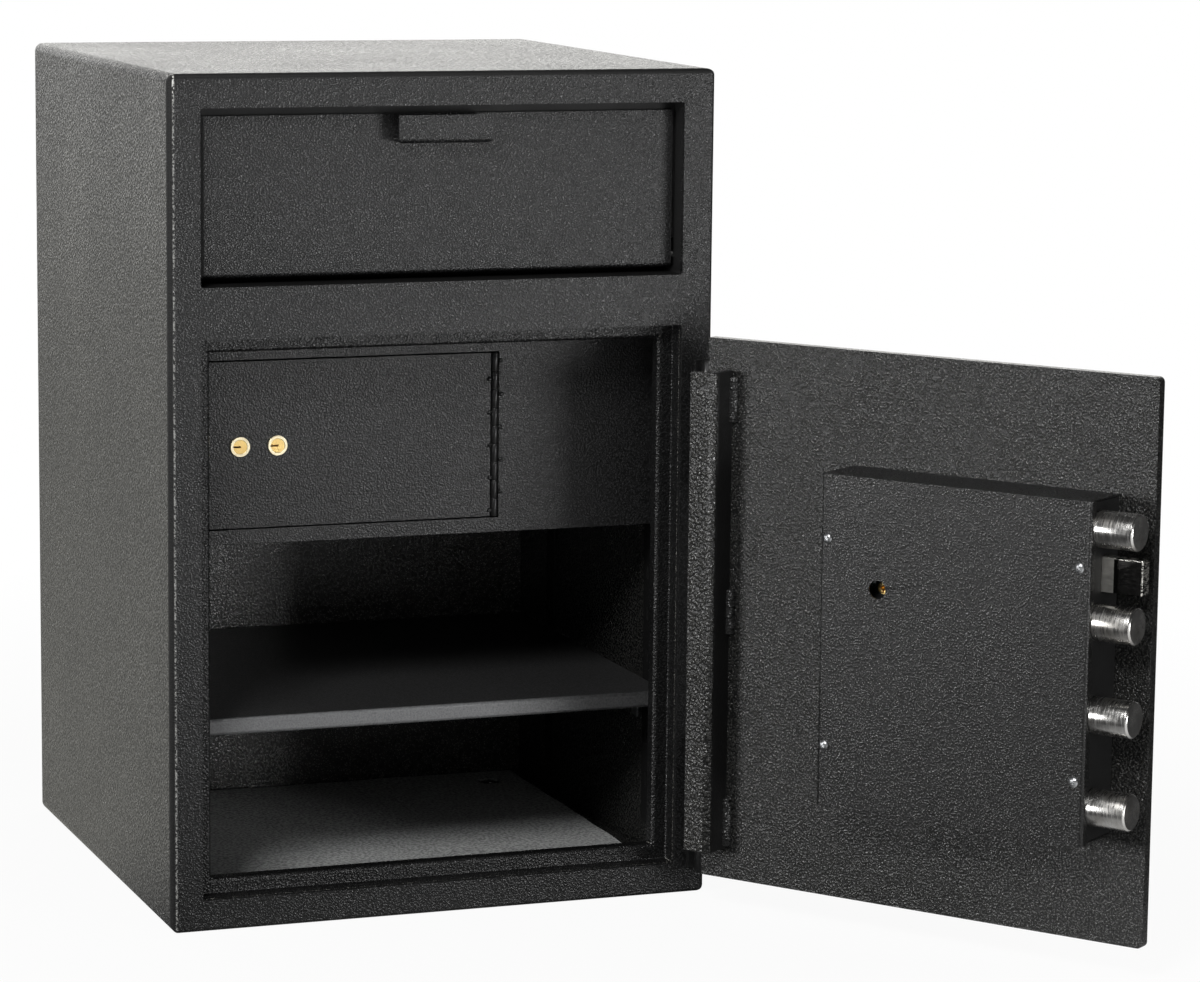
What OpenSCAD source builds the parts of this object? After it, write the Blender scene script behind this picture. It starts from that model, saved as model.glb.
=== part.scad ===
// Drop safe with a tip-out deposit drawer, a lower compartment with a plate door on bolts,
// and a two-key locker inside.
// Millimetres. X runs right, Y runs into the depth, Z runs up.
// The origin is the centre of the base. The door stands open, as at rest, with its bolts thrown.

/* [Cabinet] */
// Width of the cabinet
cab_w = 508; // [490:1:600]
// Depth of the cabinet
cab_d = 508; // [480:1:620]
// Height of the cabinet
cab_h = 762; // [750:1:900]
// Thickness of the cabinet plate
wall = 6; // [5:0.5:8]
// Outside rounding of the cabinet's four long edges
edge_r = 8; // [3:0.5:10]
// Rounding of the front plate's outer edges
front_r = 3; // [1:0.5:5]
// Distance of the anchor holes from the cabinet's sides
anchor_inset = 54; // [45:1:80]
// Radius of the anchor holes
anchor_r = 7; // [5:0.5:9]

/* [Openings] */
// Width of the front's margin beside the openings
side_margin = 29; // [28:1:33]
// Height of the front's margin above the drawer opening
top_margin = 30; // [26:1:36]
// Height of the door opening's sill above the base
sill_h = 28; // [24:1:32]
// Height of the rail between the two openings
rail_h = 46; // [44:1:50]
// Height of the drawer opening
drawer_open_h = 156; // [150:1:158]
// Corner radius of the openings
opening_r = 2.5; // [1:0.5:5]

/* [Door jamb] */
// Depth from the front face to the shoulder that the door meets
rebate_depth = 23; // [22:0.5:26]
// Width of the shoulder
shoulder_w = 14; // [12:0.5:15]
// Depth of the fold behind the shoulder
jamb_return = 14; // [12:0.5:16]
// Thickness of the jamb sheet
jamb_t = 2.5; // [2:0.25:3]
// Inside radius of the folds in sheet metal
fold_r = 1.5; // [0.5:0.25:2]

/* [Door] */
// Thickness of the door plate
door_t = 9.5; // [8:0.5:12]
// Clearance between the plate's free edge and its opening
door_gap = 2; // [2:0.5:3]
// Clearance between the plate's hinge edge and its opening
hinge_gap = 1; // [1:0.25:2]
// Clearance above the plate
door_gap_top = 4.5; // [2:0.5:5]
// Clearance below the plate
door_gap_low = 3.5; // [2:0.5:5]
// Clearance between the shut plate and the shoulder
door_rest_gap = 1; // [0.5:0.25:2]
// Angle at which the door stands open
door_angle = 126; // [100:1:150]
// Radius of the plate's corners on its free edge
plate_r = 5; // [2:0.5:8]

/* [Door hinges] */
// Distance of the hinge axis from the edge of the opening
axis_out_x = 21.5; // [20:0.5:21.5]
// Distance of the hinge axis in front of the cabinet's face
axis_out_y = 16; // [14:0.5:17]
// Outside radius of a hinge knuckle
knuckle_r = 7.5; // [7:0.5:8]
// Radius of the hinge pins
hinge_pin_r = 4; // [3:0.5:4.5]
// Length of one hinge
hinge_len = 120; // [90:3:150]
// Height of the lower hinge's bottom end above the base
hinge_low = 24; // [12:1:40]
// Drop of the upper hinge's top end below the top of the opening
hinge_drop = 32; // [20:1:60]
// Thickness of the hinge leaves
leaf_t = 4; // [3:0.5:4.5]

/* [Dead bar] */
// Distance of the bar's web from the hinge edge of the plate
dead_bar_s = 26; // [23:0.5:29]
// Height of the bar over the inner face
dead_bar_h = 29; // [29:0.5:32]
// Overhang of the bar's flange past the hinge edge
dead_bar_tip = 1; // [0:0.25:1.5]
// Thickness of the bar
dead_bar_t = 5; // [4:0.5:5.5]
// Distance of the bar's ends from the ends of the plate
dead_bar_end = 28; // [20:1:50]

/* [Bolt work] */
// Radius of the locking bolts
bolt_r = 16; // [12:0.5:16]
// Number of locking bolts
bolt_count = 4; // [2:1:4]
// Spacing of the locking bolts
bolt_pitch = 80; // [78:0.5:84]
// Height of the bolts' centres over the inner face
bolt_h = 35.5; // [34:0.5:35.5]
// Reach of the thrown bolts past the free edge of the plate
bolt_reach = 4; // [1:0.5:6]
// Travel of the bolts
bolt_travel = 26; // [26:0.5:28]
// Depth of the boltwork cover over the inner face
cover_h = 55; // [55:0.5:60]
// Width of the boltwork cover
cover_w = 262; // [250:1:275]
// Height of the boltwork cover
cover_len = 296; // [290:1:330]
// Distance of the cover from the free edge of the plate
cover_back = 32.5; // [30:0.5:35]
// Thickness of the cover sheet
cover_t = 1.5; // [1:0.25:2]

/* [Lock and handle] */
// Distance of the dial's axis from the free edge
dial_back = 223; // [219:1:230]
// Height of the dial's axis over the plate's middle
dial_up = 28; // [20:1:34]
// Radius of the dial
dial_r = 31; // [26:1:34]
// Distance of the handle's axis from the free edge
handle_back = 115; // [111:1:119]
// Length of the handle
handle_len = 118; // [90:1:130]
// Radius of the handle's spindle
spindle_r = 8; // [6:0.5:8]

/* [Deposit drawer] */
// Depth from the front face to the drawer's front
drawer_recess = 22; // [22:0.5:24]
// Clearance round the drawer's front
drawer_gap = 3; // [2.5:0.5:4]
// Thickness of the drawer's front
drawer_t = 3; // [2:0.5:3]
// Fall of the tray towards the back when the drawer is shut
tray_fall = 20; // [14:1:22]
// Radius of the drawer's pivots
pivot_r = 5; // [4:0.5:5]
// Width of the pull
pull_w = 88; // [60:1:130]
// Height of the pull
pull_h = 25; // [20:1:32]
// Distance from the drawer's front to the face of the pull
pull_out = 20; // [16:0.5:21]

/* [Locker] */
// Depth from the front face to the locker's front
locker_recess = 86; // [86:1:110]
// Drop of the locker's floor below the top of the door opening
locker_drop = 197; // [185:1:205]
// Height of the locker's sill strip
locker_sill = 13.5; // [12:0.5:18]
// Height of the locker door's opening
locker_open_h = 154; // [140:1:156]
// Thickness of the locker's front sheet
locker_t = 3; // [2:0.25:3.5]
// Distance of the locker door's free edge from the cabinet's left side
locker_left = 46; // [45.5:0.5:55]
// Distance from the locker door's opening to its hinge axis
locker_door_w = 283.5; // [270:0.5:300]
// Radius of the locker's hinge knuckles
small_knuckle_r = 3.2; // [3:0.1:3.5]
// Number of knuckles on the locker's hinge
small_knuckles = 9; // [5:2:11]
// Radius of the key locks' rings
nose_r = 9.1; // [8.5:0.1:10]

/* [Shelf and mat] */
// Height of the shelf's top above the base
shelf_z = 174.5; // [168:0.5:184]
// Depth from the front face to the shelf's lip
shelf_recess = 81; // [81:1:100]
// Height of the shelf's lip
shelf_lip = 15.5; // [12:0.5:18]
// Thickness of the shelf sheet
shelf_t = 1.5; // [1:0.25:2]
// Spacing of the shelf slots
slot_pitch = 40; // [36:1:46]
// Thickness of the floor mat
mat_t = 3.5; // [2:0.5:5]

/* [Hidden] */
$fn = 64;

// Finishes
coat = [0.26, 0.26, 0.265];
dark_coat = [0.16, 0.16, 0.165];
steel = [0.72, 0.73, 0.74];
zinc = [0.8, 0.82, 0.84];
brass = [0.82, 0.66, 0.34];
felt = [0.47, 0.49, 0.48];

// Fits and small clearances
run_gap = 0.05;
slide_gap = 0.5;
part_gap = 0.3;
bore_over = 1;

// Planes of the cabinet
front_y = -cab_d / 2;
back_y = cab_d / 2;
frame_y = front_y + wall;
in_x = cab_w / 2 - wall;
opening_w = cab_w - 2 * side_margin;
half_open = opening_w / 2;
drawer_top = cab_h - top_margin;
drawer_low = drawer_top - drawer_open_h;
door_open_top = drawer_low - rail_h;

// Planes of the jamb
shoulder_y = front_y + rebate_depth;
jamb_back_y = shoulder_y + jamb_return;
clear_x = half_open - shoulder_w;

// The door, shut
plate_w = opening_w - door_gap - hinge_gap;
plate_low = sill_h + door_gap_low;
plate_top = door_open_top - door_gap_top;
plate_mid = (plate_low + plate_top) / 2;
inner_y = shoulder_y - door_rest_gap;
axis_x = half_open + axis_out_x;
axis_y = front_y - axis_out_y;
hinge_edge_x = half_open - hinge_gap;

// Knuckles of the door hinges
hinge_high = door_open_top - hinge_drop - hinge_len;
knuckle_gap = 0.5;
knuckle_len = hinge_len / 3;
crank_gap = 7;
leaf_back = 12;
hinge_edge_r = 1;

// Boltwork, in the door's own coordinates: s from the hinge edge, h over the inner face
bolt_end = plate_w + bolt_reach;
bar_w = 8;
bar_s = bolt_end - 78;
bar_h0 = bolt_h - 13;
bar_h1 = bolt_h + 12;
bolt_low = plate_mid - (bolt_count - 1) / 2 * bolt_pitch;
bolt_high = bolt_low + (bolt_count - 1) * bolt_pitch;
bar_over = 20;
cover_s1 = plate_w - cover_back;
cover_s0 = cover_s1 - cover_w;
cover_z0 = plate_mid - 3 - cover_len / 2;
cover_z1 = cover_z0 + cover_len;
guide_t = 3;
guide_s1 = cover_s1 - cover_t - slide_gap;
guide_s0 = guide_s1 - guide_t;
guide_h = cover_h - cover_t;
latch_h1 = bolt_h - 6.4;
latch_h0 = latch_h1 - 12;
latch_len = 30;
latch_z = bolt_high - bolt_pitch / 2;

// Handle, cam and yoke
handle_s = plate_w - handle_back;
cam_r = bolt_travel;
cam_hub_r = 11;
cam_swing = 30;
cam_pin_r = 4;
cam_h0 = bolt_h - 11;
cam_t = 4;
yoke_h0 = cam_h0 + cam_t + 2;
yoke_t = 4;
yoke_s = handle_s + cam_r * sin(cam_swing);
stud_r = 5;
stud_s = bar_s - 44;
stud_out = 105;

// Lock
hard_t = 5;
case_w = 84;
case_len = 64;
case_t = 30;
dial_s = plate_w - dial_back;
dial_z = plate_mid + dial_up;
key_off = [-14, 20];
dial_spindle_r = 4;

// Rings behind the dial and the handle
ring_t = 12;
ring_step = 4;
ring_w = 12;
rose_r = 32;
rose_t = 8;
rose_step = 3;

// Cover screws
screw_r = 2;
screw_head_r = 4.4;
screw_out = 92;
screw_mid = cover_z0 + cover_len / 2 - 1;
screw_s0 = cover_s0 + 7;
screw_s1 = cover_s1 - 9.5;

// Deposit drawer
drawer_y = front_y + drawer_recess;
drawer_half = half_open - drawer_gap;
drawer_z0 = drawer_low + drawer_gap + 2;
drawer_z1 = drawer_top - drawer_gap - 5;
surround_y1 = drawer_y + 20;
surround_t = 2.5;
pivot_y = drawer_y + 8;
pivot_z = drawer_z0 + 11;
side_t = 2;
side_x = half_open - 11;
side_arc = drawer_z1 - pivot_z - 10;
stop_w = 8;
stop_y = drawer_y + drawer_t + slide_gap;
stop_t = 2;

// Chute, baffle and locker
chute_z = door_open_top + 6;
chute_t = 3;
chute_bend_y = pivot_y + side_arc + 2;
locker_low = door_open_top - locker_drop;
locker_y = front_y + locker_recess;
locker_back_y = chute_bend_y + (chute_z - locker_low);
locker_open_z0 = locker_low + locker_sill;
locker_open_z1 = locker_open_z0 + locker_open_h;
locker_x0 = -cab_w / 2 + locker_left;
locker_axis_x = locker_x0 + locker_door_w;
door_edge_gap = 1.2;
axis_gap = 4;
nose_spacing = 35;
small_pin_r = small_knuckle_r - 2;
nose_x = locker_x0 + 41.5;
nose_z = locker_open_z0 + 75.5;
plug_r = 6.4;
key_slot_t = 1.7;
locker_travel = 8;
key_cam_r = locker_travel / (2 * sin(45));

// Shelf fittings
standard_t = 2;
standard_w = 22;
standard_y = [front_y + 132, back_y - 102];
clip_w = 16;
clip_reach = 11;
slot_low = 78;
slot_count = 7;
lip_return = 8;
mat_gap = 12;
mat_clear = 5;

// A box between two corners.
module block(p, q) {
    translate(p)
        cube(q - p);
}

// A rectangle with rounded corners from corner p to corner q.
module round_rect(p, q, r) {
    translate([p[0] + r, p[1]])
        square([q[0] - p[0] - 2 * r, q[1] - p[1]]);
    translate([p[0], p[1] + r])
        square([q[0] - p[0], q[1] - p[1] - 2 * r]);
    for (x = [p[0] + r, q[0] - r], y = [p[1] + r, q[1] - r])
        translate([x, y])
            circle(r);
}

// Stands a drawing of X and Z up, from depth y0 to depth y1.
module along_y(y0, y1) {
    translate([0, y1, 0])
        rotate([90, 0, 0])
            linear_extrude(y1 - y0)
                children();
}

// Carries a drawing of Y and Z from x0 to x1.
module along_x(x0, x1) {
    translate([x0, 0, 0])
        rotate([90, 0, 90])
            linear_extrude(x1 - x0)
                children();
}

// A round bar or hole of radius r along Y through the point x, z.
module rod_y(x, z, y0, y1, r) {
    translate([x, y1, z])
        rotate([90, 0, 0])
            cylinder(r = r, h = y1 - y0);
}

// A round bar or hole of radius r along X through the point y, z.
module rod_x(y, z, x0, x1, r) {
    translate([x0, y, z])
        rotate([0, 90, 0])
            cylinder(r = r, h = x1 - x0);
}

function heading(a, b) = atan2(b[1] - a[1], b[0] - a[0]);

// Signed turn at point i of a path, from -180 to 180.
function turn_at(pts, i) =
    let (t = heading(pts[i], pts[i + 1]) - heading(pts[i - 1], pts[i]))
    t > 180 ? t - 360 : t < -180 ? t + 360 : t;

// Length that the bend at point i takes from each run beside it.
function bend_cut(pts, i, rm) =
    i == 0 || i == len(pts) - 1 ? 0 : rm * tan(abs(turn_at(pts, i)) / 2);

// A ring's sector from angle 0 to angle a.
module ring_sector(r0, r1, a) {
    reach = 2 * r1;
    intersection() {
        difference() {
            circle(r1);
            circle(r0);
        }
        polygon([
            [0, 0],
            [reach, 0],
            1.3 * reach * [cos(a / 2), sin(a / 2)],
            reach * [cos(a), sin(a)]
        ]);
    }
}

// Sheet of thickness t folded along the middle line pts, with inside radius ri at each fold.
module folded(pts, t, ri) {
    rm = ri + t / 2;
    for (i = [0 : len(pts) - 2]) {
        c0 = bend_cut(pts, i, rm);
        c1 = bend_cut(pts, i + 1, rm);
        translate(pts[i])
            rotate(heading(pts[i], pts[i + 1]))
                translate([c0, -t / 2])
                    square([norm(pts[i + 1] - pts[i]) - c0 - c1, t]);
    }
    for (i = [1 : len(pts) - 2]) {
        turn = turn_at(pts, i);
        a = heading(pts[i - 1], pts[i]);
        side = sign(turn);
        centre = pts[i] - bend_cut(pts, i, rm) * [cos(a), sin(a)] + side * rm * [-sin(a), cos(a)];
        translate(centre)
            rotate(a - side * 90 + min(turn, 0))
                ring_sector(ri, ri + t, abs(turn));
    }
}

function unit(a, b) = (b - a) / norm(b - a);

// Corner of a sheet's face, at distance d from point i of its middle line.
function face_point(pts, i, d) =
    let (
        last = len(pts) - 1,
        u = i == 0 ? unit(pts[0], pts[1]) : unit(pts[i - 1], pts[i]),
        v = i == last ? u : unit(pts[i], pts[i + 1]),
        n = [-u[1] - v[1], u[0] + v[0]]
    )
    pts[i] + 2 * d / (n * n) * n;

// Sheet of thickness t with sharp creases along the middle line pts.
module creased(pts, t) {
    last = len(pts) - 1;
    polygon(concat(
        [for (i = [0 : last]) face_point(pts, i, t / 2)],
        [for (i = [last : -1 : 0]) face_point(pts, i, -t / 2)]
    ));
}

// Four mitred lengths of one profile round a rectangle from corner p to corner q in X and Z.
// The profile's x is the distance out from the rectangle, and its y is the depth.
module mitred_frame(p, q) {
    w = q[0] - p[0];
    h = q[1] - p[1];
    centre = (p + q) / 2;
    reach = 60;
    for (k = [0 : 3]) {
        half = k % 2 == 0 ? w / 2 : h / 2;
        run = k % 2 == 0 ? h / 2 : w / 2;
        translate([centre[0], 0, centre[1]])
            rotate([0, 90 * k, 0])
                intersection() {
                    translate([half, 0, -run - reach])
                        linear_extrude(2 * (run + reach))
                            children();
                    along_y(front_y - reach, back_y)
                        polygon([
                            [half - reach, reach - run],
                            [half + reach, -run - reach],
                            [half + reach, run + reach],
                            [half - reach, run - reach]
                        ]);
                }
    }
}

// Places what is drawn in the door's own coordinates (s, h, z) on the door as it stands open.
module on_door() {
    translate([axis_x, axis_y, 0])
        rotate([0, 0, door_angle])
            translate([hinge_edge_x - axis_x, inner_y - axis_y, 0])
                mirror([1, 0, 0])
                    children();
}

// Cabinet

module body_wrap() {
    color(coat)
        difference() {
            along_y(frame_y, back_y)
                difference() {
                    round_rect([-cab_w / 2, 0], [cab_w / 2, cab_h], edge_r);
                    translate([-in_x, wall])
                        square([2 * in_x, cab_h - 2 * wall]);
                }
            for (x = [-1, 1], y = [-1, 1])
                translate([x * (cab_w / 2 - anchor_inset), y * (cab_d / 2 - anchor_inset), -bore_over])
                    cylinder(r = anchor_r, h = wall + 2 * bore_over);
        }
}

module back_panel() {
    color(coat)
        block([-in_x, back_y - wall, wall], [in_x, back_y, cab_h - wall]);
}

// Plate with all its front edges eased, so each profile rounds one pair of edges.
module front_frame() {
    e = front_r;
    color(coat)
        difference() {
            intersection() {
                along_y(front_y, frame_y)
                    round_rect([-cab_w / 2, 0], [cab_w / 2, cab_h], edge_r);
                linear_extrude(cab_h)
                    intersection() {
                        round_rect([-cab_w / 2, front_y], [cab_w / 2, front_y + 3 * wall], e);
                        translate([-cab_w / 2, front_y])
                            square([cab_w, wall]);
                    }
                along_x(-cab_w / 2, cab_w / 2)
                    intersection() {
                        round_rect([front_y, 0], [front_y + 3 * wall, cab_h], e);
                        translate([front_y, 0])
                            square([wall, cab_h]);
                    }
            }
            along_y(front_y - bore_over, frame_y + bore_over)
                round_rect([-half_open, sill_h], [half_open, door_open_top], opening_r);
            along_y(front_y - bore_over, frame_y + bore_over)
                round_rect([-half_open, drawer_low], [half_open, drawer_top], opening_r);
        }
}

// Rebate wall, shoulder and inner fold, mitred at the four corners.
module door_jamb() {
    t = jamb_t;
    color(coat)
        mitred_frame([-half_open, sill_h], [half_open, door_open_top])
            folded([
                [t / 2, frame_y],
                [t / 2, shoulder_y + t / 2],
                [-shoulder_w + t / 2, shoulder_y + t / 2],
                [-shoulder_w + t / 2, jamb_back_y]
            ], t, fold_r);
}

// Sleeve round the drawer, with a stop above and at the sides, and bores for the pivots.
module drawer_surround() {
    t = surround_t;
    stop_z = pivot_z + pivot_r + 10;
    color(dark_coat)
        difference() {
            union() {
                along_y(frame_y, surround_y1)
                    difference() {
                        round_rect([-half_open - t, drawer_low - t], [half_open + t, drawer_top + t],
                            opening_r + t);
                        round_rect([-half_open, drawer_low], [half_open, drawer_top], opening_r);
                    }
                along_y(stop_y, stop_y + stop_t)
                    difference() {
                        translate([-half_open - t / 2, stop_z])
                            square([opening_w + t, drawer_top + t / 2 - stop_z]);
                        translate([-half_open + stop_w, stop_z - bore_over])
                            square([opening_w - 2 * stop_w, drawer_top - stop_w - 6 - stop_z + bore_over]);
                    }
            }
            rod_x(pivot_y, pivot_z, -half_open - 2 * t, half_open + 2 * t, pivot_r + run_gap);
        }
}

// Floor of the drawer's compartment, folded down at 45 degrees to lead deposits to the back.
module chute_plate() {
    t = chute_t;
    color(dark_coat)
        along_x(-in_x, in_x)
            creased([
                [frame_y, chute_z + t / 2],
                [chute_bend_y, chute_z + t / 2],
                [locker_back_y, locker_low + t / 2]
            ], t);
}

// Folded guard behind the drawer, a hand's breadth too close to reach past.
module fishing_baffle() {
    r = side_arc + 3.5;
    t = 2;
    y0 = pivot_y + 0.76 * r;
    color(dark_coat)
        along_x(-in_x, in_x)
            creased([
                [y0 + 25, cab_h - wall - t / 2],
                [y0, cab_h - wall - t / 2],
                [y0, pivot_z + 0.78 * r],
                [pivot_y + 0.95 * r, pivot_z + 0.4 * r]
            ], t);
}

// Fixed front of the locker: sill, header, left stile and the panel right of the hinge.
module locker_front() {
    color(coat)
        along_y(locker_y, locker_y + locker_t)
            difference() {
                translate([-in_x, locker_low])
                    square([2 * in_x, chute_z - locker_low]);
                translate([locker_x0, locker_open_z0])
                    square([locker_axis_x + axis_gap - locker_x0, locker_open_h]);
            }
}

// Depth of the sloping plate's lower face at height z.
function slope_face(z) = locker_back_y + locker_low + chute_t / 2 - z - chute_t / sqrt(2);

module locker_floor() {
    z1 = locker_low + 2;
    color(dark_coat)
        along_x(-in_x, in_x)
            polygon([
                [locker_y + locker_t, locker_low],
                [slope_face(locker_low), locker_low],
                [slope_face(z1), z1],
                [locker_y + locker_t, z1]
            ]);
}

// Knuckles and leaf of one side of the locker's hinge. Side is -1 for the door and 1 for the frame.
module small_hinge(side) {
    leaf_w = 16;
    leaf_t = 1.5;
    low = locker_open_z0 + door_edge_gap;
    len = locker_open_h - 2 * door_edge_gap;
    pitch = len / small_knuckles;
    first = side < 0 ? 0 : 1;
    y_leaf = locker_y + locker_t;
    difference() {
        union() {
            block([side < 0 ? locker_axis_x - axis_gap - leaf_w : locker_axis_x + axis_gap, y_leaf, low],
                [side < 0 ? locker_axis_x - axis_gap : locker_axis_x + axis_gap + leaf_w,
                    y_leaf + leaf_t, low + len]);
            for (k = [first : 2 : small_knuckles - 1])
                translate([0, 0, low + k * pitch + part_gap / 2]) {
                    translate([locker_axis_x, locker_y, 0])
                        cylinder(r = small_knuckle_r, h = pitch - part_gap);
                    translate([locker_axis_x, locker_y, 0])
                        linear_extrude(pitch - part_gap)
                            polygon([
                                [0, 0],
                                [side * axis_gap, locker_t],
                                [side * axis_gap, locker_t + leaf_t],
                                [0, small_knuckle_r]
                            ]);
                }
        }
        translate([locker_axis_x, locker_y, low - bore_over])
            cylinder(r = small_pin_r + run_gap, h = len + 2 * bore_over);
    }
}

module locker_hinge_fixed() {
    color(dark_coat)
        small_hinge(1);
}

module locker_hinge_pin() {
    color(steel)
        translate([locker_axis_x, locker_y, locker_open_z0 + door_edge_gap])
            cylinder(r = small_pin_r, h = locker_open_h - 2 * door_edge_gap);
}

// Shelf with a boxed front lip and a stiffening fold at the back.
module shelf() {
    t = shelf_t;
    y0 = front_y + shelf_recess + t / 2;
    y1 = back_y - wall - 4;
    z = shelf_z - t / 2;
    color(coat)
        along_x(-in_x + standard_t + slide_gap, in_x - standard_t - slide_gap)
            folded([
                [y0 + lip_return, shelf_z - shelf_lip + t / 2],
                [y0, shelf_z - shelf_lip + t / 2],
                [y0, z],
                [y1, z],
                [y1, shelf_z - shelf_lip]
            ], t, fold_r);
}

module shelf_standards() {
    z0 = wall + 30;
    z1 = locker_low - 10;
    color(coat)
        for (side = [-1, 1], y = standard_y)
            difference() {
                block([side < 0 ? -in_x : in_x - standard_t, y - standard_w / 2, z0],
                    [side < 0 ? -in_x + standard_t : in_x, y + standard_w / 2, z1]);
                for (k = [0 : slot_count - 1])
                    if (slot_low + k * slot_pitch + 8 < z1 - 4)
                        block([side * in_x - 2 * standard_t, y - 2.5, slot_low + k * slot_pitch - 6],
                            [side * in_x + 2 * standard_t, y + 2.5, slot_low + k * slot_pitch + 6]);
            }
}

// Folded clips that stand on the standards and carry the shelf.
module shelf_clips() {
    t = 1.5;
    top = shelf_z - shelf_t;
    x0 = in_x - standard_t - t / 2;
    color(zinc)
        for (side = [-1, 1], y = standard_y)
            translate([0, y + clip_w / 2, 0])
                rotate([90, 0, 0])
                    linear_extrude(clip_w)
                        scale([side, 1])
                            folded([
                                [x0, top - clip_w],
                                [x0, top - t / 2],
                                [x0 - clip_reach, top - t / 2],
                                [x0 - clip_reach, top - 2 * clip_w]
                            ], t, 0.75);
}

// Felt mat with clearance over the anchor holes.
module floor_mat() {
    x = in_x - mat_gap;
    y0 = frame_y + mat_gap;
    y1 = back_y - wall - mat_gap / 2;
    color(felt)
        difference() {
            translate([0, 0, wall])
                linear_extrude(mat_t)
                    round_rect([-x, y0], [x, y1], 4);
            for (sx = [-1, 1], sy = [-1, 1])
                translate([sx * (cab_w / 2 - anchor_inset), sy * (cab_d / 2 - anchor_inset), wall - bore_over])
                    cylinder(r = anchor_r + mat_clear, h = mat_t + 2 * bore_over);
        }
}

// Door hinges

// One knuckle from height z, as a round bar without its bore.
module knuckle(z, len) {
    translate([axis_x, axis_y, z])
        cylinder(r = knuckle_r, h = len);
}

module pin_bore(z) {
    translate([axis_x, axis_y, z - bore_over])
        cylinder(r = hinge_pin_r + run_gap, h = hinge_len + 2 * bore_over);
}

module frame_hinge_leaves() {
    color(coat)
        for (z = [hinge_low, hinge_high])
            difference() {
                union() {
                    block([half_open + leaf_back, front_y - leaf_t, z],
                        [cab_w / 2 - front_r, front_y, z + hinge_len]);
                    for (k = [0, 2])
                        translate([0, 0, z + k * knuckle_len]) {
                            knuckle(0, knuckle_len);
                            block([axis_x - leaf_t / 2, axis_y, 0],
                                [axis_x + leaf_t / 2, front_y - leaf_t / 2, knuckle_len]);
                        }
                }
                pin_bore(z);
            }
}

module door_hinge_pins() {
    color(steel)
        for (z = [hinge_low, hinge_high])
            translate([axis_x, axis_y, z])
                cylinder(r = hinge_pin_r, h = hinge_len);
}

// Cranked leaves that reach round the edge of the opening to the plate's outer face.
// They are drawn with the door shut and turned with it.
module door_hinge_leaves() {
    x1 = hinge_edge_x - crank_gap;
    y1 = inner_y - door_t - leaf_t / 2;
    color(coat)
        translate([axis_x, axis_y, 0])
            rotate([0, 0, door_angle])
                translate([-axis_x, -axis_y, 0])
                    for (z = [hinge_low, hinge_high])
                        difference() {
                            union() {
                                translate([0, 0, z + knuckle_len + knuckle_gap])
                                    linear_extrude(knuckle_len - 2 * knuckle_gap)
                                        folded([
                                            [x1 - 34, y1],
                                            [x1, y1],
                                            [x1, axis_y],
                                            [axis_x - knuckle_r / 2, axis_y]
                                        ], leaf_t, fold_r);
                                knuckle(z + knuckle_len + knuckle_gap, knuckle_len - 2 * knuckle_gap);
                            }
                            pin_bore(z);
                        }
}

// Door

module door_plate() {
    color(coat)
        on_door()
            difference() {
                along_y(-door_t, 0) {
                    round_rect([0, plate_low], [plate_w, plate_top], plate_r);
                    round_rect([0, plate_low], [plate_w / 2, plate_top], hinge_edge_r);
                }
                rod_y(dial_s, dial_z, -door_t - bore_over, bore_over, dial_spindle_r + run_gap);
                rod_y(handle_s, plate_mid, -door_t - bore_over, bore_over, spindle_r + run_gap);
            }
}

// Angle that hooks behind the jamb on the hinge side when the door is shut.
module dead_bar() {
    t = dead_bar_t;
    color(coat)
        on_door()
            translate([0, 0, plate_low + dead_bar_end])
                linear_extrude(plate_top - plate_low - 2 * dead_bar_end)
                    folded([
                        [dead_bar_s - t / 2, 0],
                        [dead_bar_s - t / 2, dead_bar_h - t / 2],
                        [-dead_bar_tip, dead_bar_h - t / 2]
                    ], t, 2.5);
}

// Three fillet welds along the foot of the dead bar.
module dead_bar_welds() {
    leg = 6;
    run = 40;
    low = plate_low + dead_bar_end;
    high = plate_top - dead_bar_end;
    color(coat)
        on_door()
            for (z = [low + 3, (low + high - run) / 2, high - run - 6])
                translate([dead_bar_s, 0, z])
                    linear_extrude(run)
                        intersection() {
                            circle(leg);
                            square(leg);
                        }
}

module hardplate() {
    color(steel)
        on_door()
            difference() {
                along_y(0, hard_t)
                    round_rect([dial_s - case_w / 2 - 8, dial_z - case_len / 2 - 8],
                        [dial_s + case_w / 2 + 8, dial_z + case_len / 2 + 8], 4);
                rod_y(dial_s, dial_z, -bore_over, hard_t + bore_over, dial_spindle_r + run_gap);
            }
}

// Closed case of the combination lock, with a blind bore for the dial's spindle.
module lock_case() {
    color(zinc)
        on_door()
            difference() {
                union() {
                    along_y(hard_t, hard_t + case_t - 4)
                        round_rect([dial_s - case_w / 2, dial_z - case_len / 2],
                            [dial_s + case_w / 2, dial_z + case_len / 2], 8);
                    along_y(hard_t + case_t - 4, hard_t + case_t)
                        round_rect([dial_s - case_w / 2 + 2, dial_z - case_len / 2 + 2],
                            [dial_s + case_w / 2 - 2, dial_z + case_len / 2 - 2], 7);
                }
                rod_y(dial_s, dial_z, hard_t - bore_over, hard_t + 20, dial_spindle_r + run_gap);
            }
}

module lock_case_screws() {
    head_r = 4;
    color(zinc)
        on_door()
            for (x = [-1, 1], z = [-1, 1])
                translate([dial_s + x * (case_w / 2 - 10), hard_t + case_t, dial_z + z * (case_len / 2 - 9)])
                    rotate([-90, 0, 0])
                        difference() {
                            cylinder(r = head_r, h = 2.5);
                            for (a = [0, 90])
                                rotate([0, 0, a])
                                    translate([-head_r * 0.7, -0.6, 1])
                                        cube([head_r * 1.4, 1.2, 2]);
                        }
}

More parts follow.
